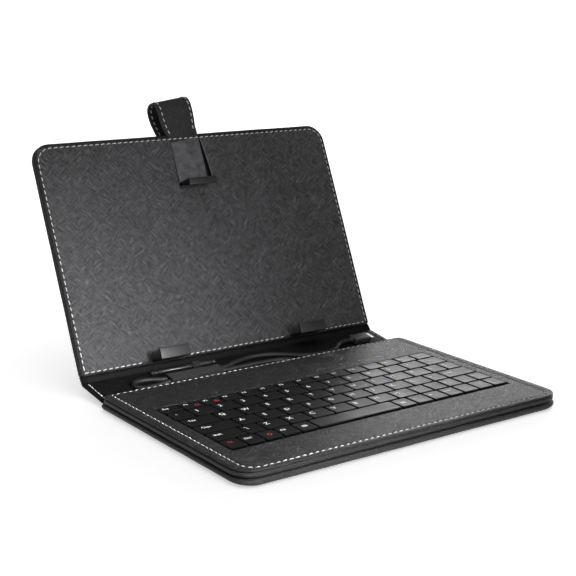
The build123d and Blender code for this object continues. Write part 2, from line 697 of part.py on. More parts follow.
with BuildPart() as fold_leather_back:
    back_outline = [
        across(spine, SPINE_END, SPINE_BELOW + 0.5),
        across(spine, SPINE_END + 2.9, SPINE_BELOW - 0.2),
        across(lid, -LID_HEM - 2.4, -LID_THICKNESS + 0.3),
        across(lid, -LID_HEM, -LID_THICKNESS + 1.8),
        across(lid, -LID_HEM, -LID_THICKNESS + 2.9),
        across(spine, SPINE_END + 1.9, 1.0),
        across(spine, SPINE_END, 1.4),
    ]
    fold(COVER_WIDTH - 5, back_outline)
keep(fold_leather_back, "fold_leather_back")

with BuildPart() as kickstand_hinge_strip:
    hinge_outline = [
        across(lid, FLAP_HINGE_UP_LID - 0.2, -LID_THICKNESS),
        across(lid, FLAP_HINGE_UP_LID + 3.6, -LID_THICKNESS),
        across(lid, FLAP_HINGE_UP_LID + 3.6, -LID_THICKNESS - 0.8),
        across(flap, flap_y[0], FLAP_THICKNESS),
        across(flap, flap_y[0], 0),
    ]
    fold(FLAP_WIDTH - 6, hinge_outline)
keep(kickstand_hinge_strip, "kickstand_hinge_strip")

os.makedirs("parts", exist_ok=True)
for piece in pieces:
    export_step(piece, f"parts/{piece.label}.step")
print(len(pieces), "pieces")
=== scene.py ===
"""Looks of the folding tablet case with a built-in keyboard, around its CAD frame.

Lengths are in millimetres until they reach a mesh, curve or camera, where MM turns
them into metres. The frame is the case's own: the origin is the centre of the base's
underside, +Y runs from the typist to the lid and +Z is up. A point on a panel is
given as x, distance up the panel and height above it.
"""

from math import cos, pi, radians, sin

import bpy
from mathutils import Matrix, Vector, noise


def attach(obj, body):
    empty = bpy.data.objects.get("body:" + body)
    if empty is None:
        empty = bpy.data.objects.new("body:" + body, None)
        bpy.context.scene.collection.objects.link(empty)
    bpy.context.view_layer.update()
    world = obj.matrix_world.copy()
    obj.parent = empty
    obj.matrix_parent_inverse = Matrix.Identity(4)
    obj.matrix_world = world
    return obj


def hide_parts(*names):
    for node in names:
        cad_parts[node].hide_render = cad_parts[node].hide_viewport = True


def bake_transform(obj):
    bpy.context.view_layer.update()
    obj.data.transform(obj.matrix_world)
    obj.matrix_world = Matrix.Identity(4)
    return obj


# Without a seed of its own, the noise differs from run to run.
noise.seed_set(7)

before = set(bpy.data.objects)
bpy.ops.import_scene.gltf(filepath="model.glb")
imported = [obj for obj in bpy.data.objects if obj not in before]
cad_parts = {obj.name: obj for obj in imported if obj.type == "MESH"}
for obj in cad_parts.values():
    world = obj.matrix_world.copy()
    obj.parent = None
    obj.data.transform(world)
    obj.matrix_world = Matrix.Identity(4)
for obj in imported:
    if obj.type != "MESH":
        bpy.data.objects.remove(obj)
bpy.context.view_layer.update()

MM = 0.001

# Panels, as in the CAD model. Radii are those of the near and the far corners.
BASE_X = (-105.5, 105.5)
BASE_Y = (-68.25, 68.25)
BASE_RADII = (11.0, 4.0)
BASE_SEAM_X = (-100.0, 100.0)
BASE_SEAM_Y = (-64.75, 64.25)
BASE_SEAM_RADII = (8.0, 1.5)
PANEL_BOTTOM = 4.6
PANEL_TOP = 8.5
PANEL_BACK = 66.2
FIELD_X = (-92.0, 92.8)
FIELD_Y = (-40.15, 32.15)
SPINE_TILT = radians(8.4)
SPINE_ORIGIN = (68.75, 2.0)
SPINE_Y = (2.2, 25.0)
SPINE_FACE = 2.15
LID_LEAN = radians(24.4)
LID_ORIGIN = (94.18, 12.81)
LID_X = (-102.6, 102.6)
LID_Y = (-2.0, 132.4)
LID_SEAM_X = (-100.0, 100.0)
LID_SEAM_Y = (0.0, 129.6)
LID_SEAM_RADII = (0.8, 9.0)
LID_THICKNESS = 4.8
FLAP_HINGE_UP_LID = 100.0
FLAP_LEAN = radians(5.0)
FLAP_THICKNESS = 2.6


def base_at(x, y, z):
    return Vector((x, y, z))


def spine_at(x, up, out):
    y = SPINE_ORIGIN[0] + up * cos(SPINE_TILT) - out * sin(SPINE_TILT)
    return Vector((x, y, SPINE_ORIGIN[1] + up * sin(SPINE_TILT) + out * cos(SPINE_TILT)))


def lid_at(x, up, out):
    y = LID_ORIGIN[0] + up * sin(LID_LEAN) - out * cos(LID_LEAN)
    return Vector((x, y, LID_ORIGIN[1] + up * cos(LID_LEAN) + out * sin(LID_LEAN)))


def flap_at(x, down, out):
    """The prop flap's back is its outer face, and it hangs from its hinge."""
    hinge = lid_at(x, FLAP_HINGE_UP_LID, -LID_THICKNESS - 0.2)
    y = hinge.y + down * sin(FLAP_LEAN) + out * cos(FLAP_LEAN)
    return Vector((x, y, hinge.z - down * cos(FLAP_LEAN) + out * sin(FLAP_LEAN)))


def out_of(place):
    """The direction out of a panel's face."""
    return (place(0, 0, 1) - place(0, 0, 0)).normalized()


# ---- Mesh helpers ----


def linked(name, data):
    """A new object in the scene."""
    made = bpy.data.objects.new(name, data)
    bpy.context.scene.collection.objects.link(made)
    return made


def new_piece(name, points, faces, material, body, smooth=True):
    """A mesh from points in millimetres, riding on a body."""
    mesh = bpy.data.meshes.new(name)
    mesh.from_pydata([tuple(p * MM for p in point) for point in points], [], faces)
    mesh.validate()
    mesh.shade_smooth() if smooth else mesh.shade_flat()
    if material:
        mesh.materials.append(material)
    piece = linked(name, mesh)
    if body:
        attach(piece, body)
    return piece


def apply_modifiers(piece):
    """Bake the piece's modifiers into its mesh."""
    graph = bpy.context.evaluated_depsgraph_get()
    mesh = bpy.data.meshes.new_from_object(piece.evaluated_get(graph))
    piece.modifiers.clear()
    piece.data = mesh


def bevel(piece, width):
    """Round off the piece's sharp edges."""
    modifier = piece.modifiers.new("edges", "BEVEL")
    modifier.width = width * MM
    modifier.segments = 3
    modifier.limit_method = "ANGLE"
    modifier.angle_limit = radians(40)
    apply_modifiers(piece)


def outline(x, y, radii, steps=(44, 30), corner=8):
    """Points round a rounded rectangle, the same number whatever its size."""
    low, high = radii
    middles = [
        (x[1] - low, y[0] + low, low, -90),
        (x[1] - high, y[1] - high, high, 0),
        (x[0] + high, y[1] - high, high, 90),
        (x[0] + low, y[0] + low, low, 180),
    ]
    arcs = []
    for middle_x, middle_y, radius, start in middles:
        turns = [radians(start + 90 * i / corner) for i in range(corner + 1)]
        arcs.append([(middle_x + radius * cos(t), middle_y + radius * sin(t)) for t in turns])
    points = []
    for i, arc in enumerate(arcs):
        points += arc
        after = arcs[(i + 1) % 4][0]
        count = steps[1] if i % 2 == 0 else steps[0]
        for k in range(1, count):
            share = k / count
            points.append(tuple(a + (b - a) * share for a, b in zip(arc[-1], after)))
    return points


def between(a, b, share):
    return tuple(p + (q - p) * share for p, q in zip(a, b))


def loft_faces(rings, count, closed=True):
    """Quads between each ring of points and the next."""
    faces = []
    span = count if closed else count - 1
    for ring in range(rings - 1):
        for i in range(span):
            j = (i + 1) % count
            low, high = ring * count, (ring + 1) * count
            faces.append((low + i, low + j, high + j, high + i))
    return faces


def shifted(faces, first):
    """Faces renumbered so that their points count from a later one."""
    return [tuple(first + v for v in face) for face in faces]


def capped_faces(rings, count, first=0, top=True):
    """Quads between rings of points, closed over the first ring and the last."""
    faces = loft_faces(rings, count)
    faces.append(tuple(reversed(range(count))))
    if top:
        faces.append(tuple(range((rings - 1) * count, rings * count)))
    return shifted(faces, first)


WANDER_SIZE = 14.0
FINE_WANDER = 0.35


def wander(point, amount):
    """Small soft unevenness, as sewn leather has."""
    broad = noise.noise_vector(point / WANDER_SIZE)
    fine = noise.noise_vector(point / (WANDER_SIZE * FINE_WANDER))
    return point + (broad * 0.7 + fine * 0.3) * amount


# Rings further in than this are even, so that a panel's middle doesn't ripple.
FLAT_SHARE = 2.5


def leather_form(name, place, outer, seam, profile, material, body, nodes, inner=None, uneven=0.16):
    """A sewn leather form lofted through rings, in place of some nodes.

    outer and seam are (x, y, radii) outlines. The profile gives (share, height) pairs:
    share 0 is the outer edge and 1 the seam. Its ends are closed, or with inner, the
    last rings run on to that opening and down into it.
    """
    points = []
    rings = 0
    for share, height in profile:
        x = between(outer[0], seam[0], share)
        y = between(outer[1], seam[1], share)
        radii = tuple(max(r, 0.4) for r in between(outer[2], seam[2], share))
        ring = outline(x, y, radii)
        loose = uneven if share < FLAT_SHARE else 0.0
        points += [wander(place(p[0], p[1], height), loose) for p in ring]
        rings += 1
    if inner:
        x, y, edge = inner
        for grow, height in edge:
            ring = outline((x[0] - grow, x[1] + grow), (y[0] - grow, y[1] + grow), (0.6, 0.6))
            points += [place(p[0], p[1], height) for p in ring]
            rings += 1
    faces = capped_faces(rings, len(points) // rings, top=not inner)
    piece = new_piece(name, points, faces, material, body)
    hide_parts(*nodes)
    return piece


def square_to(path, i):
    """The direction in (up, out) that is square to a path at one of its points."""
    before, after = path[max(i - 1, 0)], path[min(i + 1, len(path) - 1)]
    run = Vector((after[1] - before[1], after[2] - before[2])).normalized()
    return Vector((-run.y, run.x))


def ribbon(name, place, path, widths, thickness, material, body, sides=6):
    """A strap of rounded section along a path of (x middle, up, out) points."""
    points, count = [], 0
    round_off = thickness / 2
    for i, (middle, up, out) in enumerate(path):
        across = square_to(path, i)
        half = widths[i] / 2
        ring = []
        for side in (1, -1):
            for k in range(sides + 1):
                angle = radians(-90 + 180 * k / sides)
                reach = half - round_off + cos(angle) * round_off
                ring.append((side * reach, side * sin(angle) * round_off))
        count = len(ring)
        for x, lift in ring:
            points.append(place(middle + x, up + across.x * lift, out + across.y * lift))
    return new_piece(name, points, capped_faces(len(path), count), material, body)


def walk(points, spacing, closed):
    """Points and directions at equal steps along a line of points."""
    line = points + points[:1] if closed else points
    runs = [(b - a).length for a, b in zip(line, line[1:])]
    total = sum(runs)
    count = max(int(round(total / spacing)), 1)
    step = total / count
    places = []
    i, passed = 0, 0.0
    for k in range(count):
        goal = (k + 0.5) * step
        while i < len(runs) - 1 and passed + runs[i] < goal:
            passed += runs[i]
            i += 1
        along = (line[i + 1] - line[i]).normalized()
        places.append((line[i] + along * (goal - passed), along))
    return places


STITCH_PITCH = 3.75
STITCH_LENGTH = 2.75
STITCH_WIDTH = 0.6
STITCH_HEIGHT = 0.42
STITCH_SLANT = radians(7)
SLANT_VARIES = 0.5
STITCH_SUNK = 0.55


def stitches(name, lines, material, body):
    """Thread showing as separate stitches. Each line is (points, outward normal, closed)."""
    points, faces = [], []
    around, stations = 8, 7
    for line, normal, closed in lines:
        for middle, along in walk(line, STITCH_PITCH, closed):
            out = normal(middle) if callable(normal) else normal
            along = (along - out * along.dot(out)).normalized()
            slant = STITCH_SLANT * (1 + SLANT_VARIES * noise.noise(middle / 3))
            forward = Matrix.Rotation(slant, 3, out) @ along
            side = out.cross(forward)
            first = len(points)
            for k in range(stations):
                share = k / (stations - 1)
                swell = sin(pi * (0.06 + 0.88 * share)) ** 0.45
                lift = STITCH_HEIGHT * (sin(pi * share) ** 0.6 - STITCH_SUNK)
                centre = middle + forward * (share - 0.5) * STITCH_LENGTH + out * lift
                for i in range(around):
                    turn = 2 * pi * i / around
                    rise = out * sin(turn) * STITCH_HEIGHT * 0.62
                    reach = side * cos(turn) * STITCH_WIDTH / 2 + rise
                    points.append(centre + reach * swell)
            faces += capped_faces(stations, around, first)
    piece = new_piece(name, points, faces, material, body)
    return piece


def hooked(node, section, x, body):
    """A lid clip: one section right across x, with softened edges."""
    points = [lid_at(end, up, out) for end in x for up, out in section]
    faces = capped_faces(2, len(section))
    piece = new_piece(f"{node}_moulding", points, faces, clip_plastic, body)
    bevel(piece, CLIP_EDGE)
    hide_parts(node)


# ---- Materials ----


class Shader:
    """A node material under construction."""

    def __init__(self, name, roughness, colour=(0.5, 0.5, 0.5), **sockets):
        self.material = bpy.data.materials.new(name)
        self.material.use_nodes = True
        self.nodes = self.material.node_tree.nodes
        self.links = self.material.node_tree.links
        self.bsdf = self.nodes["Principled BSDF"]
        self.bsdf.inputs["Base Color"].default_value = (*colour, 1)
        self.bsdf.inputs["Roughness"].default_value = roughness
        self.material.diffuse_color = (*colour, 1)
        for socket, value in sockets.items():
            self.bsdf.inputs[socket.replace("_", " ")].default_value = value

    def node(self, kind, inputs=None, **settings):
        made = self.nodes.new("ShaderNode" + kind)
        for key, value in settings.items():
            setattr(made, key, value)
        for key, value in (inputs or {}).items():
            if isinstance(value, bpy.types.NodeSocket):
                self.links.new(value, made.inputs[key])
            else:
                made.inputs[key].default_value = value
        return made

    def coordinates(self, tilt=0.0, turn=0.0, stretch=(1, 1, 1)):
        """Object coordinates in millimetres, laid flat on a tilted panel and turned on it."""
        source = self.node("TexCoord").outputs["Object"]
        flat = self.node("Mapping", {"Vector": source, "Rotation": (-tilt, 0, 0)})
        turned = self.node("Mapping", {"Vector": flat.outputs[0], "Rotation": (0, 0, turn)})
        scale = tuple(s / MM for s in stretch)
        return self.node("Mapping", {"Vector": turned.outputs[0], "Scale": scale}).outputs[0]

    def noise(self, vector, size, detail=3.0, roughness=0.55):
        inputs = {"Vector": vector, "Scale": 1 / size, "Detail": detail, "Roughness": roughness}
        return self.node("TexNoise", inputs).outputs["Fac"]

    def math(self, operation, a, b):
        return self.node("Math", {0: a, 1: b}, operation=operation).outputs[0]

    def weigh(self, a, a_share, b, b_share):
        """A weighted sum of two values."""
        parts = [self.math("MULTIPLY", a, a_share), self.math("MULTIPLY", b, b_share)]
        return self.math("ADD", *parts)

    def ramp(self, value, low, high, start=0.3, end=0.7):
        made = self.node("ValToRGB", {"Fac": value})
        made.color_ramp.elements[0].position = start
        made.color_ramp.elements[1].position = end
        made.color_ramp.elements[0].color = (*low, 1)
        made.color_ramp.elements[1].color = (*high, 1)
        return made.outputs["Color"]

    def span(self, value, low, high):
        inputs = {"Value": value, "From Min": 0.3, "From Max": 0.7, "To Min": low, "To Max": high}
        return self.node("MapRange", inputs).outputs[0]

    def colour(self, socket):
        self.links.new(socket, self.bsdf.inputs["Base Color"])

    def roughness(self, socket):
        self.links.new(socket, self.bsdf.inputs["Roughness"])

    def bump(self, height, depth, strength=1.0, under=None):
        inputs = {"Height": height, "Distance": depth * MM, "Strength": strength}
        if under:
            inputs["Normal"] = under
        normal = self.node("Bump", inputs).outputs["Normal"]
        self.links.new(normal, self.bsdf.inputs["Normal"])
        return normal


# Leather grain, in millimetres and degrees.
STROKE_WIDTH = 0.31
STROKE_STRETCH = (1, 0.08, 1)
STROKE_ANGLES = (50, -42)
PATCH_SIZE = 8.0
PORE_SIZE = 0.5
CLOUD_SIZE = 24.0


def cross_hatch(name, tilt, dark, light, roughness=0.42, depth=0.34, gloss=0.34):
    """Leather embossed with short fine strokes that cross on the diagonals."""
    shader = Shader(name, roughness, dark, Specular_IOR_Level=gloss)
    flat = shader.coordinates(tilt)
    patch = shader.noise(flat, PATCH_SIZE, 2.0)
    favour = (shader.span(patch, 0.3, 1.0), shader.span(patch, 1.0, 0.3))
    lines = []
    for turn, share in zip(STROKE_ANGLES, favour):
        along = shader.coordinates(tilt, radians(turn), STROKE_STRETCH)
        strokes = shader.noise(along, STROKE_WIDTH, 1.0, 0.5)
        lines.append(shader.math("MULTIPLY", shader.span(strokes, -0.25, 1.15), share))
    hatch = shader.math("MAXIMUM", *lines)
    pores = shader.noise(flat, PORE_SIZE, 3.0, 0.7)
    grain = shader.math("MULTIPLY", hatch, shader.span(pores, 0.5, 1.0))
    cloud = shader.noise(flat, CLOUD_SIZE, 4.0, 0.6)
    tone = shader.weigh(grain, 0.75, cloud, 0.14)
    shader.colour(shader.ramp(tone, dark, light, 0.2, 0.72))
    dull, glossy = (roughness + 0.14,) * 3, (roughness - 0.1,) * 3
    shader.roughness(shader.ramp(grain, dull, glossy, 0.1, 0.8))
    swell = shader.bump(cloud, 0.5, 0.25)
    shader.bump(grain, depth, 1.0, swell)
    return shader.material


def moulded(name, colour, roughness, size=0.6, depth=0.012, mottle=1.35, patch=9.0, gloss=0.5):
    """Plastic with the fine spark texture of a mould."""
    shader = Shader(name, roughness, colour, Specular_IOR_Level=gloss)
    flat = shader.coordinates()
    speck = shader.noise(flat, size, 3.0)
    cloud = shader.noise(flat, patch, 3.0)
    lighter = tuple(c * mottle + 0.002 for c in colour)
    shader.colour(shader.ramp(cloud, colour, lighter))
    shader.roughness(shader.span(cloud, roughness - 0.03, roughness + 0.06))
    shader.bump(speck, depth, 0.8)
    return shader.material


def woven(name, dark, light, size, depth, sheen=0.3, roughness=0.9):
    """Pile or cloth: mottled, soft and rough."""
    sockets = {"Sheen_Weight": sheen, "Sheen_Roughness": 0.5, "Specular_IOR_Level": 0.2}
    shader = Shader(name, roughness, dark, **sockets)
    flat = shader.coordinates()
    inputs = {"Vector": flat, "Scale": 1 / size, "Randomness": 1.0}
    cells = shader.node("TexVoronoi", inputs).outputs["Distance"]
    fibre = shader.noise(flat, size * 0.6, 5.0, 0.7)
    mottle = shader.noise(flat, size * 3.0, 3.0)
    tone = shader.weigh(fibre, 0.7, mottle, 0.4)
    shader.colour(shader.ramp(tone, dark, light, 0.35, 0.75))
    shader.bump(shader.math("ADD", cells, fibre), depth, 0.9)
    return shader.material


# A wave texture of scale 1 repeats at this distance.
WAVE_PERIOD = 0.314
TWIST_PITCH = 0.5
TWIST_ANGLE = radians(35)


def twisted_thread(name, low, high):
    """Thread of a slightly warm grey between two values."""
    shader = Shader(name, 0.8, (high, high, high * 0.97), Specular_IOR_Level=0.2)
    flat = shader.coordinates(0, TWIST_ANGLE)
    scale = WAVE_PERIOD / TWIST_PITCH
    inputs = {"Vector": flat, "Scale": scale, "Distortion": 0.8, "Detail": 1.0}
    twist = shader.node("TexWave", inputs).outputs["Fac"]
    fibre = shader.noise(flat, 0.25, 3.0)
    tone = shader.weigh(twist, 0.5, fibre, 0.5)
    dark, light = (low, low, low * 0.98), (high, high, high * 0.97)
    shader.colour(shader.ramp(tone, dark, light, 0.2, 0.65))
    shader.bump(twist, 0.08, 0.8)
    return shader.material


def plated(name, colour, roughness):
    """Metal with a faint brushing along it."""
    shader = Shader(name, roughness, colour, Metallic=1.0)
    flat = shader.coordinates(0, 0, (1, 8, 8))
    brushed = shader.noise(flat, 1.5, 4.0)
    shader.colour(shader.ramp(brushed, tuple(c * 0.8 for c in colour), colour))
    shader.roughness(shader.span(brushed, roughness - 0.05, roughness + 0.1))
    shader.bump(brushed, 0.01, 0.5)
    return shader.material


def grey(value):
    return (value, value, value)


LID_TILT = pi / 2 - LID_LEAN
DARK = (0.0008, 0.0008, 0.0009)
LIGHT = (0.03, 0.03, 0.032)
base_leather = cross_hatch("base_leather", 0.0, DARK, LIGHT)
flap_leather = cross_hatch("flap_leather", pi / 2 + FLAP_LEAN, DARK, LIGHT)
# Painted light: the lid's face is a lighter copy of the cover leather, for the light it catches.
painted_light_lid_leather = cross_hatch("painted_light_lid_leather", LID_TILT, DARK, (0.088, 0.088, 0.096), gloss=0.43)
# Painted shade: a darker copy of the cover leather for the lid's rolled border, edges and back.
painted_shade_skin_leather = cross_hatch("painted_shade_skin_leather", LID_TILT, DARK, (0.02, 0.02, 0.0215), 0.46, 0.22, 0.24)
strap_leather = cross_hatch(
    "strap_leather", LID_TILT, DARK, (0.012, 0.012, 0.013), 0.46, 0.22, 0.38
)
# Painted shade: a darker, duller copy of the cover leather for the spine and the folds, where shade
# falls.
painted_shade_spine_leather = cross_hatch(
    "painted_shade_spine_leather", SPINE_TILT, DARK, (0.005, 0.005, 0.0054), 0.6, 0.14, 0.12
)
thread = twisted_thread("white_thread", 0.24, 0.62)
# Painted shade: a darker copy of the white thread for the base seam.
painted_shade_base_thread = twisted_thread("painted_shade_base_thread", 0.18, 0.48)

clip_plastic = moulded("clip_plastic", (0.006, 0.006, 0.0068), 0.46, gloss=0.26)
band_plastic = moulded("band_plastic", (0.018, 0.018, 0.02), 0.42, 3.0, 0.15, 3.8, 4.0)
key_plastic = moulded("key_plastic", (0.005, 0.005, 0.0057), 0.42, gloss=0.37)
module_plastic = moulded("module_plastic", (0.004, 0.004, 0.0045), 0.6)
lens_plastic = moulded("lens_plastic", (0.006, 0.006, 0.007), 0.42, gloss=0.25)
cable_sheath = moulded("cable_sheath", (0.005, 0.005, 0.0055), 0.52, 2.0, 0.02, gloss=0.26)
plug_plastic = moulded("plug_plastic", (0.02, 0.02, 0.021), 0.45)
stylus_paint = moulded("stylus_paint", (0.006, 0.006, 0.0066), 0.3, 3.0, 0.005, gloss=0.35)
film = moulded("film", (0.4, 0.45, 0.4), 0.2, 4.0, 0.01)
silicone = moulded("silicone", grey(0.6), 0.5, 2.0, 0.02)
circuit = moulded("circuit", (0.01, 0.1, 0.035), 0.35, 1.0, 0.02)
chips = moulded("chips", grey(0.012), 0.5)
legend_white = moulded("legend_white", grey(0.5), 0.5)
icon_grey = moulded("icon_grey", grey(0.17), 0.5)
legend_red = moulded("legend_red", (0.3, 0.02, 0.028), 0.5)
legend_blue = moulded("legend_blue", (0.09, 0.13, 0.36), 0.5)

fuzzy_pile = woven("fuzzy_pile", grey(0.0015), (0.03, 0.03, 0.031), 0.7, 0.35, 0.02)
hook_loop = woven("hook_loop", grey(0.006), grey(0.03), 0.5, 0.3)
elastic = woven("elastic", grey(0.004), grey(0.014), 0.4, 0.12, 0.03)
felt = woven("felt", grey(0.02), grey(0.05), 0.8, 0.2)
dark_card = woven("dark_card", grey(0.003), grey(0.008), 1.5, 0.05, 0.0)
card = woven("card", (0.22, 0.2, 0.17), (0.34, 0.31, 0.27), 1.5, 0.05, 0.0, 0.85)
# Painted highlight: a lighter strip material for the lit right wall of the lid's window cut.
painted_highlight_edge = woven("painted_highlight_edge", grey(0.05), grey(0.2), 0.8, 0.05, 0.0)
steel = plated("steel", (0.56, 0.57, 0.58), 0.32)
nickel = plated("nickel", (0.8, 0.78, 0.72), 0.3)

# ---- Camera ----
# Fitted to the photograph's corners.
CAMERA_AT = Vector((-413.44, -521.58, 228.44))
CAMERA_RIGHT = Vector((0.8082247, -0.5887408, 0.0125325))
CAMERA_UP = Vector((0.1291225, 0.1979435, 0.9716716))
LENS = 80.89
SENSOR_WIDTH = 36
CLIP = (0.01, 50)

camera_data = bpy.data.cameras.new("camera")
camera_data.lens = LENS
camera_data.sensor_width = SENSOR_WIDTH
camera_data.clip_start, camera_data.clip_end = CLIP
camera = linked("camera", camera_data)
back = CAMERA_RIGHT.cross(CAMERA_UP)
turn = Matrix((CAMERA_RIGHT, CAMERA_UP, back)).transposed()
camera.matrix_world = Matrix.Translation(CAMERA_AT * MM) @ turn.to_4x4()
bpy.context.scene.camera = camera

# ---- Lead ----
LEAD_DIAMETER = 2.8
# Control points on the spine: x, up the spine and out of it.
LEAD_ROUTE = [
    (25.4, -2.9, 4.65), (22.6, 1.9, 4.35), (16.5, 4.9, 3.85), (8.0, 5.9, 3.65),
    (-4.0, 6.1, 3.6), (-18.0, 5.6, 3.6), (-31.0, 5.2, 3.6), (-46.0, 5.4, 3.6),
    (-60.0, 5.2, 3.6), (-68.5, 3.4, 3.6), (-76.07, 2.4, 3.6), (-79.0, 5.33, 3.6),
    (-79.0, 9.47, 3.6), (-76.07, 12.4, 3.6), (-68.5, 11.9, 3.6), (-60.0, 8.7, 3.6),
    (-45.0, 8.4, 3.6), (-30.0, 8.3, 3.6), (-19.0, 8.9, 3.6), (-9.5, 12.8, 3.6),
    (2.0, 15.6, 3.6), (14.5, 14.6, 3.6), (25.5, 9.8, 3.6), (34.0, 4.2, 3.6),
    (43.0, 2.6, 3.6), (52.0, 2.6, 3.6), (59.0, 4.4, 3.7), (65.0, 9.8, 3.9),
    (70.5, 11.4, 4.0), (74.5, 11.4, 4.0),
]

lead_curve = bpy.data.curves.new("lead", "CURVE")
lead_curve.dimensions = "3D"
lead_curve.bevel_depth = LEAD_DIAMETER / 2 * MM
lead_curve.bevel_resolution = 5
lead_curve.resolution_u = 10
lead_curve.use_fill_caps = True
lead_line = lead_curve.splines.new("NURBS")
lead_line.points.add(len(LEAD_ROUTE) - 1)
for control, place in zip(lead_line.points, LEAD_ROUTE):
    control.co = (*(spine_at(*place) * MM), 1)
lead_line.order_u = 3
lead_line.use_endpoint_u = True
lead_curve.materials.append(cable_sheath)
lead = linked("lead", lead_curve)
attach(lead, "spine")
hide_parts("usb_cable")

# ---- Base ----
COVER_PROFILE = [
    (3.0, 0.0), (1.3, 0.0), (0.75, 0.03), (0.52, 0.25), (0.3, 0.75), (0.13, 1.35),
    (0.03, 2.0), (0.0, 2.6), (0.03, 3.2), (0.12, 3.65), (0.28, 3.95), (0.5, 4.08),
    (1.0, 4.1), (1.8, 4.1),
]
base_outer = (BASE_X, BASE_Y, BASE_RADII)
base_seam = (BASE_SEAM_X, BASE_SEAM_Y, BASE_SEAM_RADII)
leather_form(
    "base_cover", base_at, base_outer, base_seam, COVER_PROFILE, base_leather, "base",
    ("base_cover_skin",),
)

PANEL_PROFILE = [
    (0.9, PANEL_BOTTOM), (0.4, PANEL_BOTTOM), (0.2, 4.72), (0.12, 5.0), (0.09, 5.6),
    (0.08, 6.3), (0.1, 6.85), (0.18, 7.1), (0.45, 7.2), (0.45, 7.5), (0.16, 7.6),
    (0.1, 7.85), (0.12, 8.15), (0.22, 8.38), (0.42, 8.52), (0.75, 8.5), (0.92, 8.3),
    (1.0, 8.22), (1.08, 8.3), (1.3, 8.5), (1.5, 8.52),
]
EDGE_PROFILE = [(1.6, 8.52), (0.9, 8.5), (0.45, 8.38), (0.2, 8.1), (0.1, 7.6), (0.1, 7.35)]
panel_outer = (BASE_X, (BASE_Y[0] + 0.2, PANEL_BACK), BASE_RADII)
field = (FIELD_X, FIELD_Y, EDGE_PROFILE)
leather_form(
    "keyboard_panel", base_at, panel_outer, base_seam, PANEL_PROFILE, base_leather, "base",
    ("keyboard_surround",), field,
)

BASE_THREAD_HEIGHT = 8.32
base_line = [base_at(x, y, BASE_THREAD_HEIGHT) for x, y in outline(*base_seam)]
base_lines = [(base_line, Vector((0, 0, 1)), True)]
# The base seam's thread is the darker copy, painted shade.
base_seam_piece = stitches("base_seam", base_lines, painted_shade_base_thread, "base")
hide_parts("base_stitching")

# ---- Lid ----
BACK, EDGE_GROOVE = -LID_THICKNESS, -2.3
LID_PROFILE = [
    (6.0, BACK), (1.5, BACK), (1.15, BACK + 0.03), (1.0, BACK + 0.3),
    (0.85, BACK + 0.03), (0.6, BACK + 0.02), (0.3, BACK + 0.3), (0.1, BACK + 0.85),
    (0.0, BACK + 1.5), (0.04, BACK + 2.1), (0.2, EDGE_GROOVE), (0.06, -2.0),
    (0.02, -1.4), (0.12, -0.7), (0.3, -0.2), (0.5, 0.02), (0.75, 0.02), (0.92, -0.18),
    (1.0, -0.26), (1.08, -0.18), (1.3, 0.0), (2.2, 0.0), (6.0, 0.0),
]
lid_outer = (LID_X, LID_Y, (2.2, 11.0))
lid_seam = (LID_SEAM_X, LID_SEAM_Y, LID_SEAM_RADII)
lid_cover = leather_form(
    "lid_cover", lid_at, lid_outer, lid_seam, LID_PROFILE, painted_light_lid_leather, "lid",
    ("lid_back_skin", "lid_lining"), uneven=0.14,
)

WINDOW_BOTTOM, WINDOW_TOP = 100.4, 133.5
WINDOW_LEFT, WINDOW_RIGHT = (-12.9, -12.4), (12.0, 8.9)


def blocks(name, shapes):
    """Four-sided blocks on the lid, each given by its left x, right x, y and z.

    An x is a pair, for the low and the high end of y.
    """
    points, faces = [], []
    for left, right, y, z in shapes:
        first = len(points)
        for out in z:
            corners = ((left[0], y[0]), (right[0], y[0]), (right[1], y[1]), (left[1], y[1]))
            points += [lid_at(px, py, out) for px, py in corners]
        faces += capped_faces(2, 4, first)
    return new_piece(name, points, faces, None, None, False)


def cut(piece, cutter):
    """Cut one mesh out of a piece and remove it."""
    modifier = piece.modifiers.new("cut", "BOOLEAN")
    modifier.operation = "DIFFERENCE"
    modifier.solver = "EXACT"
    modifier.use_self = True
    modifier.object = cutter
    apply_modifiers(piece)
    piece.data.set_sharp_from_angle(angle=radians(35))
    bpy.data.objects.remove(cutter)


channel = ((-13.4, -13.4), (11.0, 11.0), (93.5, 128.0), (-2.6, -0.95))
window = (WINDOW_LEFT, WINDOW_RIGHT, (WINDOW_BOTTOM, WINDOW_TOP), (-1.7, 1.0))
cut(lid_cover, blocks("window_cutter", [channel, window]))

# The skin wraps round the edge as far as the seam in a darker copy of the leather, painted shade on
# the rolled border; the lining inside the seam is the lighter copy, painted light on the lid's
# face.
lid_cover.data.materials.append(painted_shade_skin_leather)
LINING_DEPTH = -1.0
lid_start = lid_at(0, 0, 0)
along_lid, out_of_lid = lid_at(0, 1, 0) - lid_start, lid_at(0, 0, 1) - lid_start
for polygon in lid_cover.data.polygons:
    middle = polygon.center / MM - lid_start
    up, out = middle.dot(along_lid), middle.dot(out_of_lid)
    inside = abs(middle.x) < LID_SEAM_X[1] and LID_SEAM_Y[0] < up < LID_SEAM_Y[1]
    polygon.material_index = 0 if inside and out > LINING_DEPTH else 1

# Painted highlight: a light strip along the window's right wall stands in for that wall catching
# the light.
rim_left, rim_right = (tuple(x + shift for x in WINDOW_RIGHT) for shift in (-0.05, 0.3))
painted_highlight_rim = blocks("window_highlight_rim", [(rim_left, rim_right, (101.0, 129.0), (-0.5, 0.1))])
painted_highlight_rim.data.materials.append(painted_highlight_edge)
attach(painted_highlight_rim, "lid")

FRONT_THREAD, BACK_THREAD = -0.18, BACK + 0.2
lid_line = [lid_at(x, y, FRONT_THREAD) for x, y in outline(*lid_seam)]
lid_out = out_of(lid_at)
CLIP_X = (-47.5, 50.3)
CLIP_WIDTH = 19.5
CLIP_MARGIN = 1.5


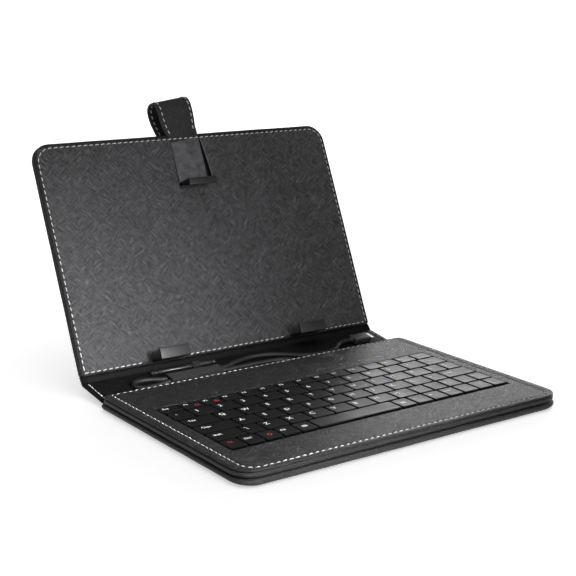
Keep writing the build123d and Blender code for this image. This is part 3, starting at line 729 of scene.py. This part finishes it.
def clear_of_clips(line):
    """The lid's seam in stretches that stop at the lower clips."""
    stretches = [[]]
    reach = CLIP_WIDTH / 2 + CLIP_MARGIN
    for point in line + line[:1]:
        low = point.z < lid_at(0, 3, 0).z
        if low and any(abs(point.x - middle) < reach for middle in CLIP_X):
            stretches.append([])
        else:
            stretches[-1].append(point)
    return [stretch for stretch in stretches if len(stretch) > 1]


front_lines = [(stretch, lid_out, False) for stretch in clear_of_clips(lid_line)]
lid_stitches = stitches("lid_seam", front_lines, thread, "lid")
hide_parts("lid_stitching")
back_line = [lid_at(x, y, BACK_THREAD) for x, y in outline(*lid_seam)]
stitches("lid_back_seam", [(back_line[::-1], -lid_out, True)], thread, "lid")

# ---- Spine and folds ----
SPINE_BACK = -0.15
SPINE_PROFILE = [
    (4.0, SPINE_BACK), (0.8, SPINE_BACK), (0.2, SPINE_BACK + 0.2),
    (0.0, SPINE_BACK + 0.8), (0.0, 1.4), (0.15, 1.95), (0.45, SPINE_FACE),
    (0.8, SPINE_FACE), (1.0, SPINE_FACE - 0.15), (1.2, SPINE_FACE), (4.0, SPINE_FACE),
]
spine_outer = (LID_X, SPINE_Y, (0.5, 0.5))
spine_seam = (LID_SEAM_X, (SPINE_Y[0] + 2.0, SPINE_Y[1] - 2.0), (0.4, 0.4))
leather_form(
    "spine_cover", spine_at, spine_outer, spine_seam, SPINE_PROFILE, painted_shade_spine_leather, "spine",
    ("spine_skin", "spine_lining"),
)
spine_lines = []
for x in LID_SEAM_X:
    ends = [spine_at(x, SPINE_Y[0] + k * 2.3, SPINE_FACE - 0.05) for k in range(10)]
    spine_lines.append((ends, out_of(spine_at), False))
stitches("spine_seam", spine_lines, thread, "spine")


CREASE_DEPTH = 0.2
CREASE_SIZE = 9


def fold_leather(name, width, start, end, node, sag=0.0):
    """Soft leather from one panel's edge to the next.

    Each end is a pair of (y, z) points, its top and its bottom.
    """
    rows, columns = 14, 50
    points = []
    for lower in (False, True):
        for i in range(rows + 1):
            share = i / rows
            share = 1 - share if lower else share
            a, b = start[lower], end[lower]
            ease = share * share * (3 - 2 * share)
            dip = sin(pi * share) * sag
            for k in range(columns + 1):
                x = -width / 2 + width * k / columns
                ripple = noise.noise(Vector((x / CREASE_SIZE, share * 2, 3.0)))
                crease = CREASE_DEPTH * ripple * sin(pi * share)
                y = a[0] + (b[0] - a[0]) * share
                z = a[1] + (b[1] - a[1]) * ease - dip + crease
                points.append(Vector((x, y, z)))
    count = columns + 1
    total = 2 * (rows + 1)
    faces = [tuple(reversed(f)) for f in loft_faces(total, count, False)]
    last = (total - 1) * count
    for k in range(columns):
        faces.append((k, k + 1, last + k + 1, last + k))
    left = [r * count for r in range(total)]
    right = [r * count + columns for r in range(total)]
    faces += [tuple(left), tuple(reversed(right))]
    # The folds wear the spine's darker leather, painted shade.
    piece = new_piece(name, points, faces, painted_shade_spine_leather, None)
    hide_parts(node)
    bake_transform(piece)


def panel_edge(place, up, top, bottom):
    """The (y, z) points at two heights of a panel, some way up it."""
    return place(0, up, top).yz, place(0, up, bottom).yz


fold_leather(
    "fold_front", 204.0, ((67.4, 3.7), (67.4, 2.0)), panel_edge(spine_at, 3.4, 1.9, 0.4),
    "fold_leather_front", 0.25,
)
fold_leather(
    "fold_back", 205.0, panel_edge(spine_at, 23.6, 1.7, 0.3),
    panel_edge(lid_at, -1.4, -2.2, -3.8), "fold_leather_back",
)

# ---- Lower clips ----
CLIP_EDGE = 0.28
REACH, SHELF_LOW, SHELF_HIGH, LIP = 11.5, -1.0, 0.35, 5.4
LOWER_SECTION = [
    (SHELF_LOW, -2.2), (SHELF_LOW, REACH), (LIP, REACH), (LIP, REACH - 1.25),
    (SHELF_HIGH, REACH - 1.25), (SHELF_HIGH, -1.0), (12.0, -1.0), (12.0, -2.2),
]
for side, middle in zip(("left", "right"), CLIP_X):
    span = (middle - CLIP_WIDTH / 2, middle + CLIP_WIDTH / 2)
    hooked(f"lower_clip_{side}", LOWER_SECTION, span, "lid")

# ---- Upper clip, band and strap ----
UPPER_X = (-11.75, 7.75)
UPPER_REACH = 10.0
UPPER_SECTION = [
    (94.0, -2.2), (102.3, -2.2), (102.3, UPPER_REACH), (97.9, UPPER_REACH),
    (97.9, UPPER_REACH - 1.2), (101.0, UPPER_REACH - 1.2), (101.0, -1.1), (94.0, -1.1),
]
hooked("upper_clip", UPPER_SECTION[::-1], UPPER_X, "clip_slider")

STRAP_MIDDLE = -2.5
STRAP_THICKNESS = 1.5
# Knots of the strap's loop: up the lid, out of it, and the width there.
STRAP_KNOTS = [
    (128.6, -0.95, 20.0), (132.0, -0.8, 21.0), (136.0, -0.6, 22.4), (140.5, -0.1, 24.0),
    (145.5, 0.8, 24.5), (150.0, 1.2, 24.5), (153.2, 0.0, 24.5), (154.6, -2.6, 24.5),
    (154.8, -5.6, 24.5), (153.6, -8.6, 24.5), (150.4, -10.5, 24.5), (145.0, -10.9, 24.5),
    (138.0, -9.7, 24.5), (131.0, -7.8, 24.5), (124.5, -6.75, 24.5), (115.0, -6.65, 24.5),
    (108.0, -6.65, 24.2), (106.4, -6.65, 22.5),
]
STRAP_PIVOT_UP = 130.0
STRAP_SWING = radians(7.5)


def strap_at(x, up, out):
    """The strap's loop leans to the left from where it leaves the lid."""
    across, along = x - STRAP_MIDDLE, up - STRAP_PIVOT_UP
    swung_x = STRAP_MIDDLE + across * cos(STRAP_SWING) - along * sin(STRAP_SWING)
    swung_up = STRAP_PIVOT_UP + across * sin(STRAP_SWING) + along * cos(STRAP_SWING)
    return lid_at(swung_x, swung_up, out)


def eased(a, b, c, d, t):
    """The Catmull-Rom value between b and c."""
    square, cube = 2 * a - 5 * b + 4 * c - d, 3 * b - a - 3 * c + d
    return 0.5 * (2 * b + (c - a) * t + square * t**2 + cube * t**3)


def smooth_line(knots, steps=6):
    """A smooth line through knots of any size."""
    padded = [knots[0], *knots, knots[-1]]
    line = []
    for near in zip(padded, padded[1:], padded[2:], padded[3:]):
        for k in range(steps):
            line.append(tuple(eased(*values, k / steps) for values in zip(*near)))
    return line + [knots[-1]]


strap_line = smooth_line(STRAP_KNOTS)
strap_path = [(STRAP_MIDDLE, up, out) for up, out, _ in strap_line]
strap_widths = [width for _, _, width in strap_line]
strap = ribbon(
    "strap", strap_at, strap_path, strap_widths, STRAP_THICKNESS, strap_leather, "clip_slider"
)
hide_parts("closing_strap")

STRAP_SEAM_INSET = 2.2
# The point of the path from which each face's seams show.
SEAM_STARTS = {1: 8, -1: 30}
strap_lines = []
lift = STRAP_THICKNESS / 2 - 0.05
for face, start in SEAM_STARTS.items():
    for side in (1, -1):
        spots, normals = [], []
        for i, (middle, up, out) in enumerate(strap_path):
            across = square_to(strap_path, i) * face
            edge = side * (strap_widths[i] / 2 - STRAP_SEAM_INSET)
            spots.append(strap_at(middle + edge, up + across.x * lift, out + across.y * lift))
            normals.append((lid_at(0, across.x, across.y) - lid_start).normalized())

        def outward(point, spots=spots, normals=normals):
            nearest = min(range(len(spots)), key=lambda i: (spots[i] - point).length)
            return normals[nearest]

        strap_lines.append((spots[start:], outward, False))
stitches("strap_seam", strap_lines, thread, "clip_slider")

# ---- Prop flap ----
FLAP_PROFILE = [
    (5.0, 0.0), (0.9, 0.0), (0.3, 0.12), (0.05, 0.6), (0.0, 1.3), (0.02, 2.0),
    (0.09, 2.5), (0.2, FLAP_THICKNESS + 0.1), (0.35, FLAP_THICKNESS + 0.18),
    (0.85, FLAP_THICKNESS + 0.2), (1.0, FLAP_THICKNESS + 0.07),
    (1.08, FLAP_THICKNESS + 0.2), (1.3, FLAP_THICKNESS + 0.27),
    (5.0, FLAP_THICKNESS + 0.35),
]
FLAP_FOOT = 99.7
flap_outer = ((-40.0, 40.0), (1.2, FLAP_FOOT), (3.0, 0.6))
flap_seam = ((-37.2, 37.2), (4.0, FLAP_FOOT - 2.8), (1.0, 0.5))
leather_form(
    "flap_cover", flap_at, flap_outer, flap_seam, FLAP_PROFILE, flap_leather, "kickstand",
    ("kickstand_skin",), uneven=0.05,
)
flap_line = [flap_at(x, y, FLAP_THICKNESS + 0.09) for x, y in outline(*flap_seam)]
stitches("flap_seam", [(flap_line, out_of(flap_at), True)], thread, "kickstand")
fold_leather(
    "flap_hinge", 74.0, panel_edge(lid_at, 104.0, BACK - 0.75, BACK - 0.05),
    panel_edge(flap_at, 3.0, FLAP_THICKNESS - 0.3, 0.4),
    "kickstand_hinge_strip",
)

# ---- Strap round the lead, stylus loop ----


BAND_WALL = 0.6
ARC = range(0, 91, 15)


def tunnel(name, x, y, height, corner, material, slot, node, rough=0.0):
    """A band sewn down at both sides with a rounded tunnel under it."""
    outer, inner = [], []
    for shrink, line in ((0.0, outer), (BAND_WALL, inner)):
        low, high, top = y[0] + shrink, y[1] - shrink, height - shrink
        bend = max(corner - shrink, 0.2)
        line.append((low, 0.0))
        for angle in ARC:
            turn = radians(180 - angle)
            line.append((low + bend + bend * cos(turn), top - bend + bend * sin(turn)))
        for k in range(1, 8):
            line.append((low + bend + (high - low - 2 * bend) * k / 8, top))
        for angle in ARC:
            turn = radians(90 - angle)
            line.append((high - bend + bend * cos(turn), top - bend + bend * sin(turn)))
        line.append((high, 0.0))
    section = outer + inner[::-1]
    slices = 40
    points = []
    for i in range(slices + 1):
        along = x[0] + (x[1] - x[0]) * i / slices
        for k, (up, out) in enumerate(section):
            point = spine_at(along, up, SPINE_FACE + out)
            fine, broad = noise.noise_vector(point / 1.7), noise.noise_vector(point / 5.0)
            shift = fine * rough + broad * rough
            shift.z = abs(shift.z) if k < len(outer) else 0.0
            points.append(point + shift)
    piece = new_piece(name, points, capped_faces(slices + 1, len(section)), material, "spine")
    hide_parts(node)


LEAD_STRAP = ((-58.0, -23.5), (2.9, 10.9), 3.75, 0.9)
PEN_LOOP = ((-36.0, -31.0), (16.3, 20.5), 3.45, 1.7)
tunnel("lead_strap", *LEAD_STRAP, fuzzy_pile, "strap_fuzzy", "cable_strap", 0.22)
tunnel("pen_loop", *PEN_LOOP, elastic, "loop_elastic", "stylus_loop")

# ---- Stylus ----
STYLUS_Y, STYLUS_Z = 18.4, 3.55


def turned_rod(name, stations, material, node):
    """A round rod along x from (x, radius) stations."""
    around = 24
    points = []
    for x, radius in stations:
        for i in range(around):
            turn = 2 * pi * i / around
            points.append(spine_at(x, STYLUS_Y + radius * cos(turn), STYLUS_Z + radius * sin(turn)))
    piece = new_piece(name, points, capped_faces(len(stations), around), material, "stylus")
    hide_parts(node)


BARREL = [
    (-60.6, 1.0), (-60.5, 1.32), (-60.2, 1.35), (-58.4, 1.35), (-58.2, 1.18), (-57.8, 1.18),
    (-57.6, 1.35), (-40.0, 1.35), (-24.0, 1.35), (-22.6, 1.3), (-22.4, 1.1), (-22.0, 1.1),
    (-21.8, 1.3), (-20.2, 1.3), (-19.6, 0.9),
]
turned_rod("stylus_rod", BARREL, stylus_paint, "stylus_barrel")
TIP_END, TIP_BACK, TIP_RADIUS = -63.2, -60.5, 1.3
tip = []
for angle in range(0, 91, 10):
    x = TIP_END + 2.6 * (1 - cos(radians(angle))) * 0.52
    tip.append((x, max(TIP_RADIUS * sin(radians(angle)), 0.05)))
tip.append((TIP_BACK, TIP_RADIUS))
turned_rod("stylus_point", tip, cable_sheath, "stylus_tip")

# ---- Keys ----
FIELD_LEFT, FIELD_FRONT = -92.0, -39.05
ROW_DEPTH, TOP_ROW_DEPTH, LETTER = 12.1, 10.2, 14.35
KEY_GAP, KEY_TOP, KEY_SKIRT = 1.3, 8.9, 7.0
KEY_CORNER, KEY_ROLL, KEY_DISH = 0.9, 0.3, 0.1
LEGEND_HEIGHT = 2.9
WHITE, RED, BLUE = 0, 1, 2
MENU, RING = "menu", "ring"

# A legend is (words, colour, share across the key, share up it).
UPPER, LOWER = 0.64, 0.3
FUNCTION_WIDTH = 12.32
RINGED_FUNCTIONS = (1, 2, 10)


def plain(words, *more):
    return [(words, WHITE, 0.26, UPPER), *more]


def key(width, words):
    return ("", width, plain(words))


def letters(words, seconds=""):
    keys = []
    for i, letter in enumerate(words):
        second = seconds[i : i + 1].strip()
        keys.append(("", LETTER, plain(letter, *([(second, BLUE, 0.7, LOWER)] if second else []))))
    return keys


def arrow(name, way, width):
    return (name, width, [(way, RED, 0.5, 0.5)])


def function_key(words, *more):
    return ("", FUNCTION_WIDTH, plain(words, *more))


# Each row: its node, its depth and its keys as (node or "", width, legends).
KEY_ROWS = [
    ("bottom_row_keys", ROW_DEPTH, [
        ("fn_key", 10.6, [("Fn", RED, 0.4, UPPER)]), ("ctrl_key", 10.7, plain("Ctrl")),
        ("", 10.7, [(RING, RED, 0.5, 0.5)]), ("alt_key", 10.7, plain("Alt")),
        ("", 10.8, [(MENU, WHITE, 0.5, 0.5)]), ("space_key", 54.8, []),
        ("", 11.0, [(MENU, WHITE, 0.42, 0.5)]), key(11.4, "'"), key(11.3, "="),
        key(10.7, "End"), arrow("left_arrow_key", "left", 11.3),
        arrow("down_arrow_key", "down", 11.0), arrow("right_arrow_key", "right", 9.8),
    ]),
    ("bottom_letter_keys", ROW_DEPTH, [
        ("shift_key", 19.0, plain("Shift")), key(11.3, "\\"),
        *letters("ZXCVBNM", "      0"),
        key(10.95, ","), key(10.9, "."), key(11.0, "/"), arrow("up_arrow_key", "up", 11.0),
        key(10.2, "Pg"),
    ]),
    ("home_letter_keys", ROW_DEPTH, [
        ("caps_lock_key", 23.3, plain("Caps")),
        *letters("ASDFGHJKL", "      123"),
        key(11.15, ";"), ("enter_key", 21.2, plain("Enter")),
    ]),
    ("top_letter_keys", ROW_DEPTH, [
        ("tab_key", 19.6, plain("Tab")),
        *letters("QWERTYUIOP", "      456 "),
        key(11.3, "["), key(10.4, "]"),
    ]),
    ("number_keys", ROW_DEPTH, [
        key(11.95, "`"),
        *letters("1234567890-", "      789  "),
        ("backspace_key", 15.0, plain("Back")),
    ]),
    ("function_keys", TOP_ROW_DEPTH, [
        function_key("Esc"),
        *(
            function_key(f"F{n}", *([(RING, RED, 0.72, LOWER)] if n in RINGED_FUNCTIONS else []))
            for n in range(1, 11)
        ),
        ("", FUNCTION_WIDTH, [("Num", BLUE, 0.26, 0.5)]),
        *(function_key(words) for words in ("Prt", "Ins", "Del")),
    ]),
]

# A key cap's (inset, height) from its skirt to its dished top.
KEY_SECTION = [
    (0.0, KEY_SKIRT), (0.0, KEY_TOP - KEY_ROLL - 0.4), (0.03, KEY_TOP - KEY_ROLL),
    (0.1, KEY_TOP - 0.12), (0.24, KEY_TOP - 0.02), (0.5, KEY_TOP),
    (1.3, KEY_TOP - KEY_DISH * 0.5), (2.8, KEY_TOP - KEY_DISH),
]


def key_form(x, y, points, faces):
    """Adds one key cap: skirt, rounded edge and a slightly dished top."""
    first = len(points)
    for inset, height in KEY_SECTION:
        radius = max(KEY_CORNER - inset, 0.25)
        across, along = ((low + inset, high - inset) for low, high in (x, y))
        ring = outline(across, along, (radius, radius), (2, 2), 4)
        points += [base_at(px, py, height) for px, py in ring]
    faces += capped_faces(len(KEY_SECTION), len(ring), first)


glyphs = {}


def glyph(words):
    """Flat characters round the origin: points, faces and width."""
    if words not in glyphs:
        curve = bpy.data.curves.new("glyph", "FONT")
        curve.body = words
        curve.size = 1.0
        curve.resolution_u = 3
        curve.offset = 0.018
        holder = linked("glyph", curve)
        mesh = bpy.data.meshes.new_from_object(holder)
        points = [Vector(v.co) for v in mesh.vertices]
        faces = [tuple(p.vertices) for p in mesh.polygons]
        bpy.data.objects.remove(holder)
        low = Vector((min(p.x for p in points), min(p.y for p in points), 0))
        high = Vector((max(p.x for p in points), max(p.y for p in points), 0))
        glyphs[words] = ([p - (low + high) / 2 for p in points], faces, high.x - low.x)
    return glyphs[words]


# A capital's height as a share of the font's size.
CAP_SHARE = 0.7
ARROWS = {"up": 90, "down": -90, "left": 180, "right": 0}
ARROW_TIP, ARROW_WIDTH, ARROW_NECK, ARROW_STEM = 0.55, 0.42, 0.05, 0.14
MENU_ROWS, MENU_WIDTH, MENU_BAR = (-0.42, -0.1, 0.22), 0.6, 0.18
RING_RADII = (0.5, 0.34)


def symbol(words):
    """Points and faces of a small drawn symbol about 1 across."""
    if words in ARROWS:
        turn = Matrix.Rotation(radians(ARROWS[words]), 3, "Z")
        upper = [(ARROW_NECK, ARROW_WIDTH), (ARROW_NECK, ARROW_STEM), (-ARROW_TIP, ARROW_STEM)]
        shape = [(ARROW_TIP, 0), *upper, *((x, -y) for x, y in reversed(upper))]
        return [turn @ Vector((*p, 0)) for p in shape], [(0, 1, 2, 5, 6), (2, 3, 4, 5)]
    points, faces = [], []
    if words == MENU:
        for low in MENU_ROWS:
            faces.append(tuple(range(len(points), len(points) + 4)))
            for side, y in ((-1, low), (1, low), (1, low + MENU_BAR), (-1, low + MENU_BAR)):
                points.append(Vector((side * MENU_WIDTH, y, 0)))
        return points, faces
    count = 20
    for radius in RING_RADII:
        turns = [2 * pi * i / count for i in range(count)]
        points += [Vector((radius * cos(turn), radius * sin(turn), 0)) for turn in turns]
    return points, loft_faces(2, count)


SYMBOL_SIZE, WORD_SIZE, SECOND_SIZE = 2.6, 0.66, 0.8
LEGEND_LEFT, LEGEND_SIDES, LEGEND_LIFT = 1.3, 2.2, 0.02


def legend_form(legend, x, y, points, faces, colours):
    """Adds one legend on top of a key, made smaller if the key has no room for it."""
    words, colour, share_x, share_y = legend
    if words in (*ARROWS, MENU, RING):
        shape, shape_faces = symbol(words)
        size = width = SYMBOL_SIZE
    else:
        shape, shape_faces, width = glyph(words)
        size = LEGEND_HEIGHT / CAP_SHARE
        if len(words) > 1:
            size *= WORD_SIZE
        if colour == BLUE:
            size *= SECOND_SIZE
        width *= size
        room = x[1] - x[0] - LEGEND_SIDES
        if width > room:
            size *= room / width
            width = room
    centre_x = x[0] + (x[1] - x[0]) * share_x
    centre_x = max(centre_x, x[0] + LEGEND_LEFT + width / 2)
    centre_y = y[0] + (y[1] - y[0]) * share_y
    faces += shifted(shape_faces, len(points))
    for p in shape:
        spot = (centre_x + p.x * size, centre_y + p.y * size, KEY_TOP + LEGEND_LIFT)
        points.append(base_at(*spot))
    colours += [colour] * len(shape_faces)


key_bodies = {}
cap_pieces = []
row_front = FIELD_FRONT
for row_node, depth, keys in KEY_ROWS:
    key_left = FIELD_LEFT
    for name, width, legends in keys:
        node = name or row_node
        x = (key_left + KEY_GAP / 2, key_left + width - KEY_GAP / 2)
        y = (row_front + KEY_GAP / 2, row_front + depth - KEY_GAP / 2)
        key_bodies.setdefault(node, []).append((x, y, legends))
        key_left += width
    row_front += depth

for node, caps in key_bodies.items():
    points, faces = [], []
    print_points, print_faces, print_colours = [], [], []
    for x, y, legends in caps:
        key_form(x, y, points, faces)
        for legend in legends:
            legend_form(legend, x, y, print_points, print_faces, print_colours)
    caps_piece = new_piece(f"{node}_caps", points, faces, key_plastic, node)
    cap_pieces.append(caps_piece)
    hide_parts(node)
    if print_faces:
        printed = new_piece(f"{node}_legends", print_points, print_faces, legend_white, node, False)
        printed.data.materials.append(legend_red)
        printed.data.materials.append(legend_blue)
        for polygon, colour in zip(printed.data.polygons, print_colours):
            polygon.material_index = colour

# ---- Indicator icons ----
LIGHT_X, LIGHT_Y = (37.1, 50.6, 65.0), 39.9
ICON_WIDTH, ICON_DEPTH, ICON_LIFT = 2.0, 1.7, 0.13
icon_points, icon_faces = [], []
for middle, words in zip(LIGHT_X, (MENU, "up", RING)):
    shape, shape_faces = symbol(words)
    icon_faces += shifted(shape_faces, len(icon_points))
    for p in shape:
        x, y = middle + p.x * ICON_WIDTH, LIGHT_Y + p.y * ICON_DEPTH
        icon_points.append(base_at(x, y, PANEL_TOP + ICON_LIFT))
icons = new_piece("light_icons", icon_points, icon_faces, icon_grey, "base", False)

# ---- Finishes for the CAD pieces that stay ----
FINISHES = {
    card: ("base_cover_board", "palm_rest_board", "spine_board", "kickstand_board"),
    dark_card: ("lid_board",),
    felt: ("foam_interlayer",),
    module_plastic: ("keyboard_tray", "key_grid"),
    steel: ("support_plate",),
    film: ("contact_membrane",),
    silicone: ("dome_sheet",),
    circuit: ("controller_board",),
    chips: ("board_components",),
    lens_plastic: ("led_windows",),
    cable_sheath: ("cable_gland",),
    plug_plastic: ("usb_plug_body",),
    nickel: ("usb_plug_shell",),
    band_plastic: ("clip_band",),
    hook_loop: ("cover_patch", "strap_patch"),
}
for material, nodes in FINISHES.items():
    for node in nodes:
        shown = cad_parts[node]
        if not shown.material_slots:
            shown.data.materials.append(material)
        for place in shown.material_slots:
            place.material = material

# ---- Floor and light ----
FLOOR_REACH, FLOOR_DROP, FLOOR_GLOW = 60000, -0.05, 0.51
floor_shader = Shader("floor_paper", 0.6, (0.9, 0.9, 0.905), Specular_IOR_Level=0.2)
floor_shader.bsdf.inputs["Emission Color"].default_value = (1.0, 1.0, 1.0, 1)
floor_shader.bsdf.inputs["Emission Strength"].default_value = FLOOR_GLOW
sides = ((-1, -1), (1, -1), (1, 1), (-1, 1))
corners = [(x * FLOOR_REACH, y * FLOOR_REACH, FLOOR_DROP) for x, y in sides]
floor = new_piece("floor", corners, [(0, 1, 2, 3)], floor_shader.material, None)

bpy.context.scene.view_settings.view_transform = "Standard"

# A bright sweep round the horizon under a dimmer ceiling.
HORIZON, CEILING = 1.08, 0.12
SWEEP_TOP, CEILING_EDGE = radians(12), radians(24)
world = bpy.data.worlds.new("studio")
bpy.context.scene.world = world
world.use_nodes = True
tree = world.node_tree
direction = tree.nodes.new("ShaderNodeTexCoord")
split = tree.nodes.new("ShaderNodeSeparateXYZ")
ramp = tree.nodes.new("ShaderNodeValToRGB")
tree.links.new(direction.outputs["Generated"], split.inputs[0])
tree.links.new(split.outputs["Z"], ramp.inputs["Fac"])
ramp.color_ramp.elements[0].position = sin(SWEEP_TOP)
ramp.color_ramp.elements[1].position = sin(CEILING_EDGE)
ramp.color_ramp.elements[0].color = (*grey(HORIZON), 1)
ramp.color_ramp.elements[1].color = (*grey(CEILING), 1)
tree.links.new(ramp.outputs["Color"], tree.nodes["Background"].inputs["Color"])


def soft_light(name, place, target, size, power, spread=180):
    """An area light in metres and watts, turned to face a target."""
    data = bpy.data.lights.new(name, "AREA")
    data.shape = "RECTANGLE"
    data.size, data.size_y = size
    data.energy = power
    data.spread = radians(spread)
    light = linked(name, data)
    light.location = place
    light.rotation_euler = (Vector(target) - Vector(place)).to_track_quat("-Z", "Y").to_euler()
    return light


# The key light leaves out the floor, to keep the contact shadow, and the key caps.
key_light = soft_light("key", (0.0, -0.4, 0.2), (-0.13, 0.09, -0.03), (0.22, 0.22), 0.5, 30)
unlit = bpy.data.collections.new("kept_from_key")
for piece in (floor, *cap_pieces):
    unlit.objects.link(piece)
for member in unlit.collection_objects:
    member.light_linking.link_state = "EXCLUDE"
key_light.light_linking.receiver_collection = unlit
soft_light("side", (1.3, 1.1, 0.42), (0.05, -0.02, 0.01), (1.2, 0.5), 8.0)

SUN_POWER, SUN_SPREAD, SUN_LEAN = 1.15, radians(70), radians(8)
sun_data = bpy.data.lights.new("overhead", "SUN")
sun_data.energy = SUN_POWER
sun_data.angle = SUN_SPREAD
sun = linked("overhead", sun_data)
sun.rotation_euler = (SUN_LEAN, 0, 0)
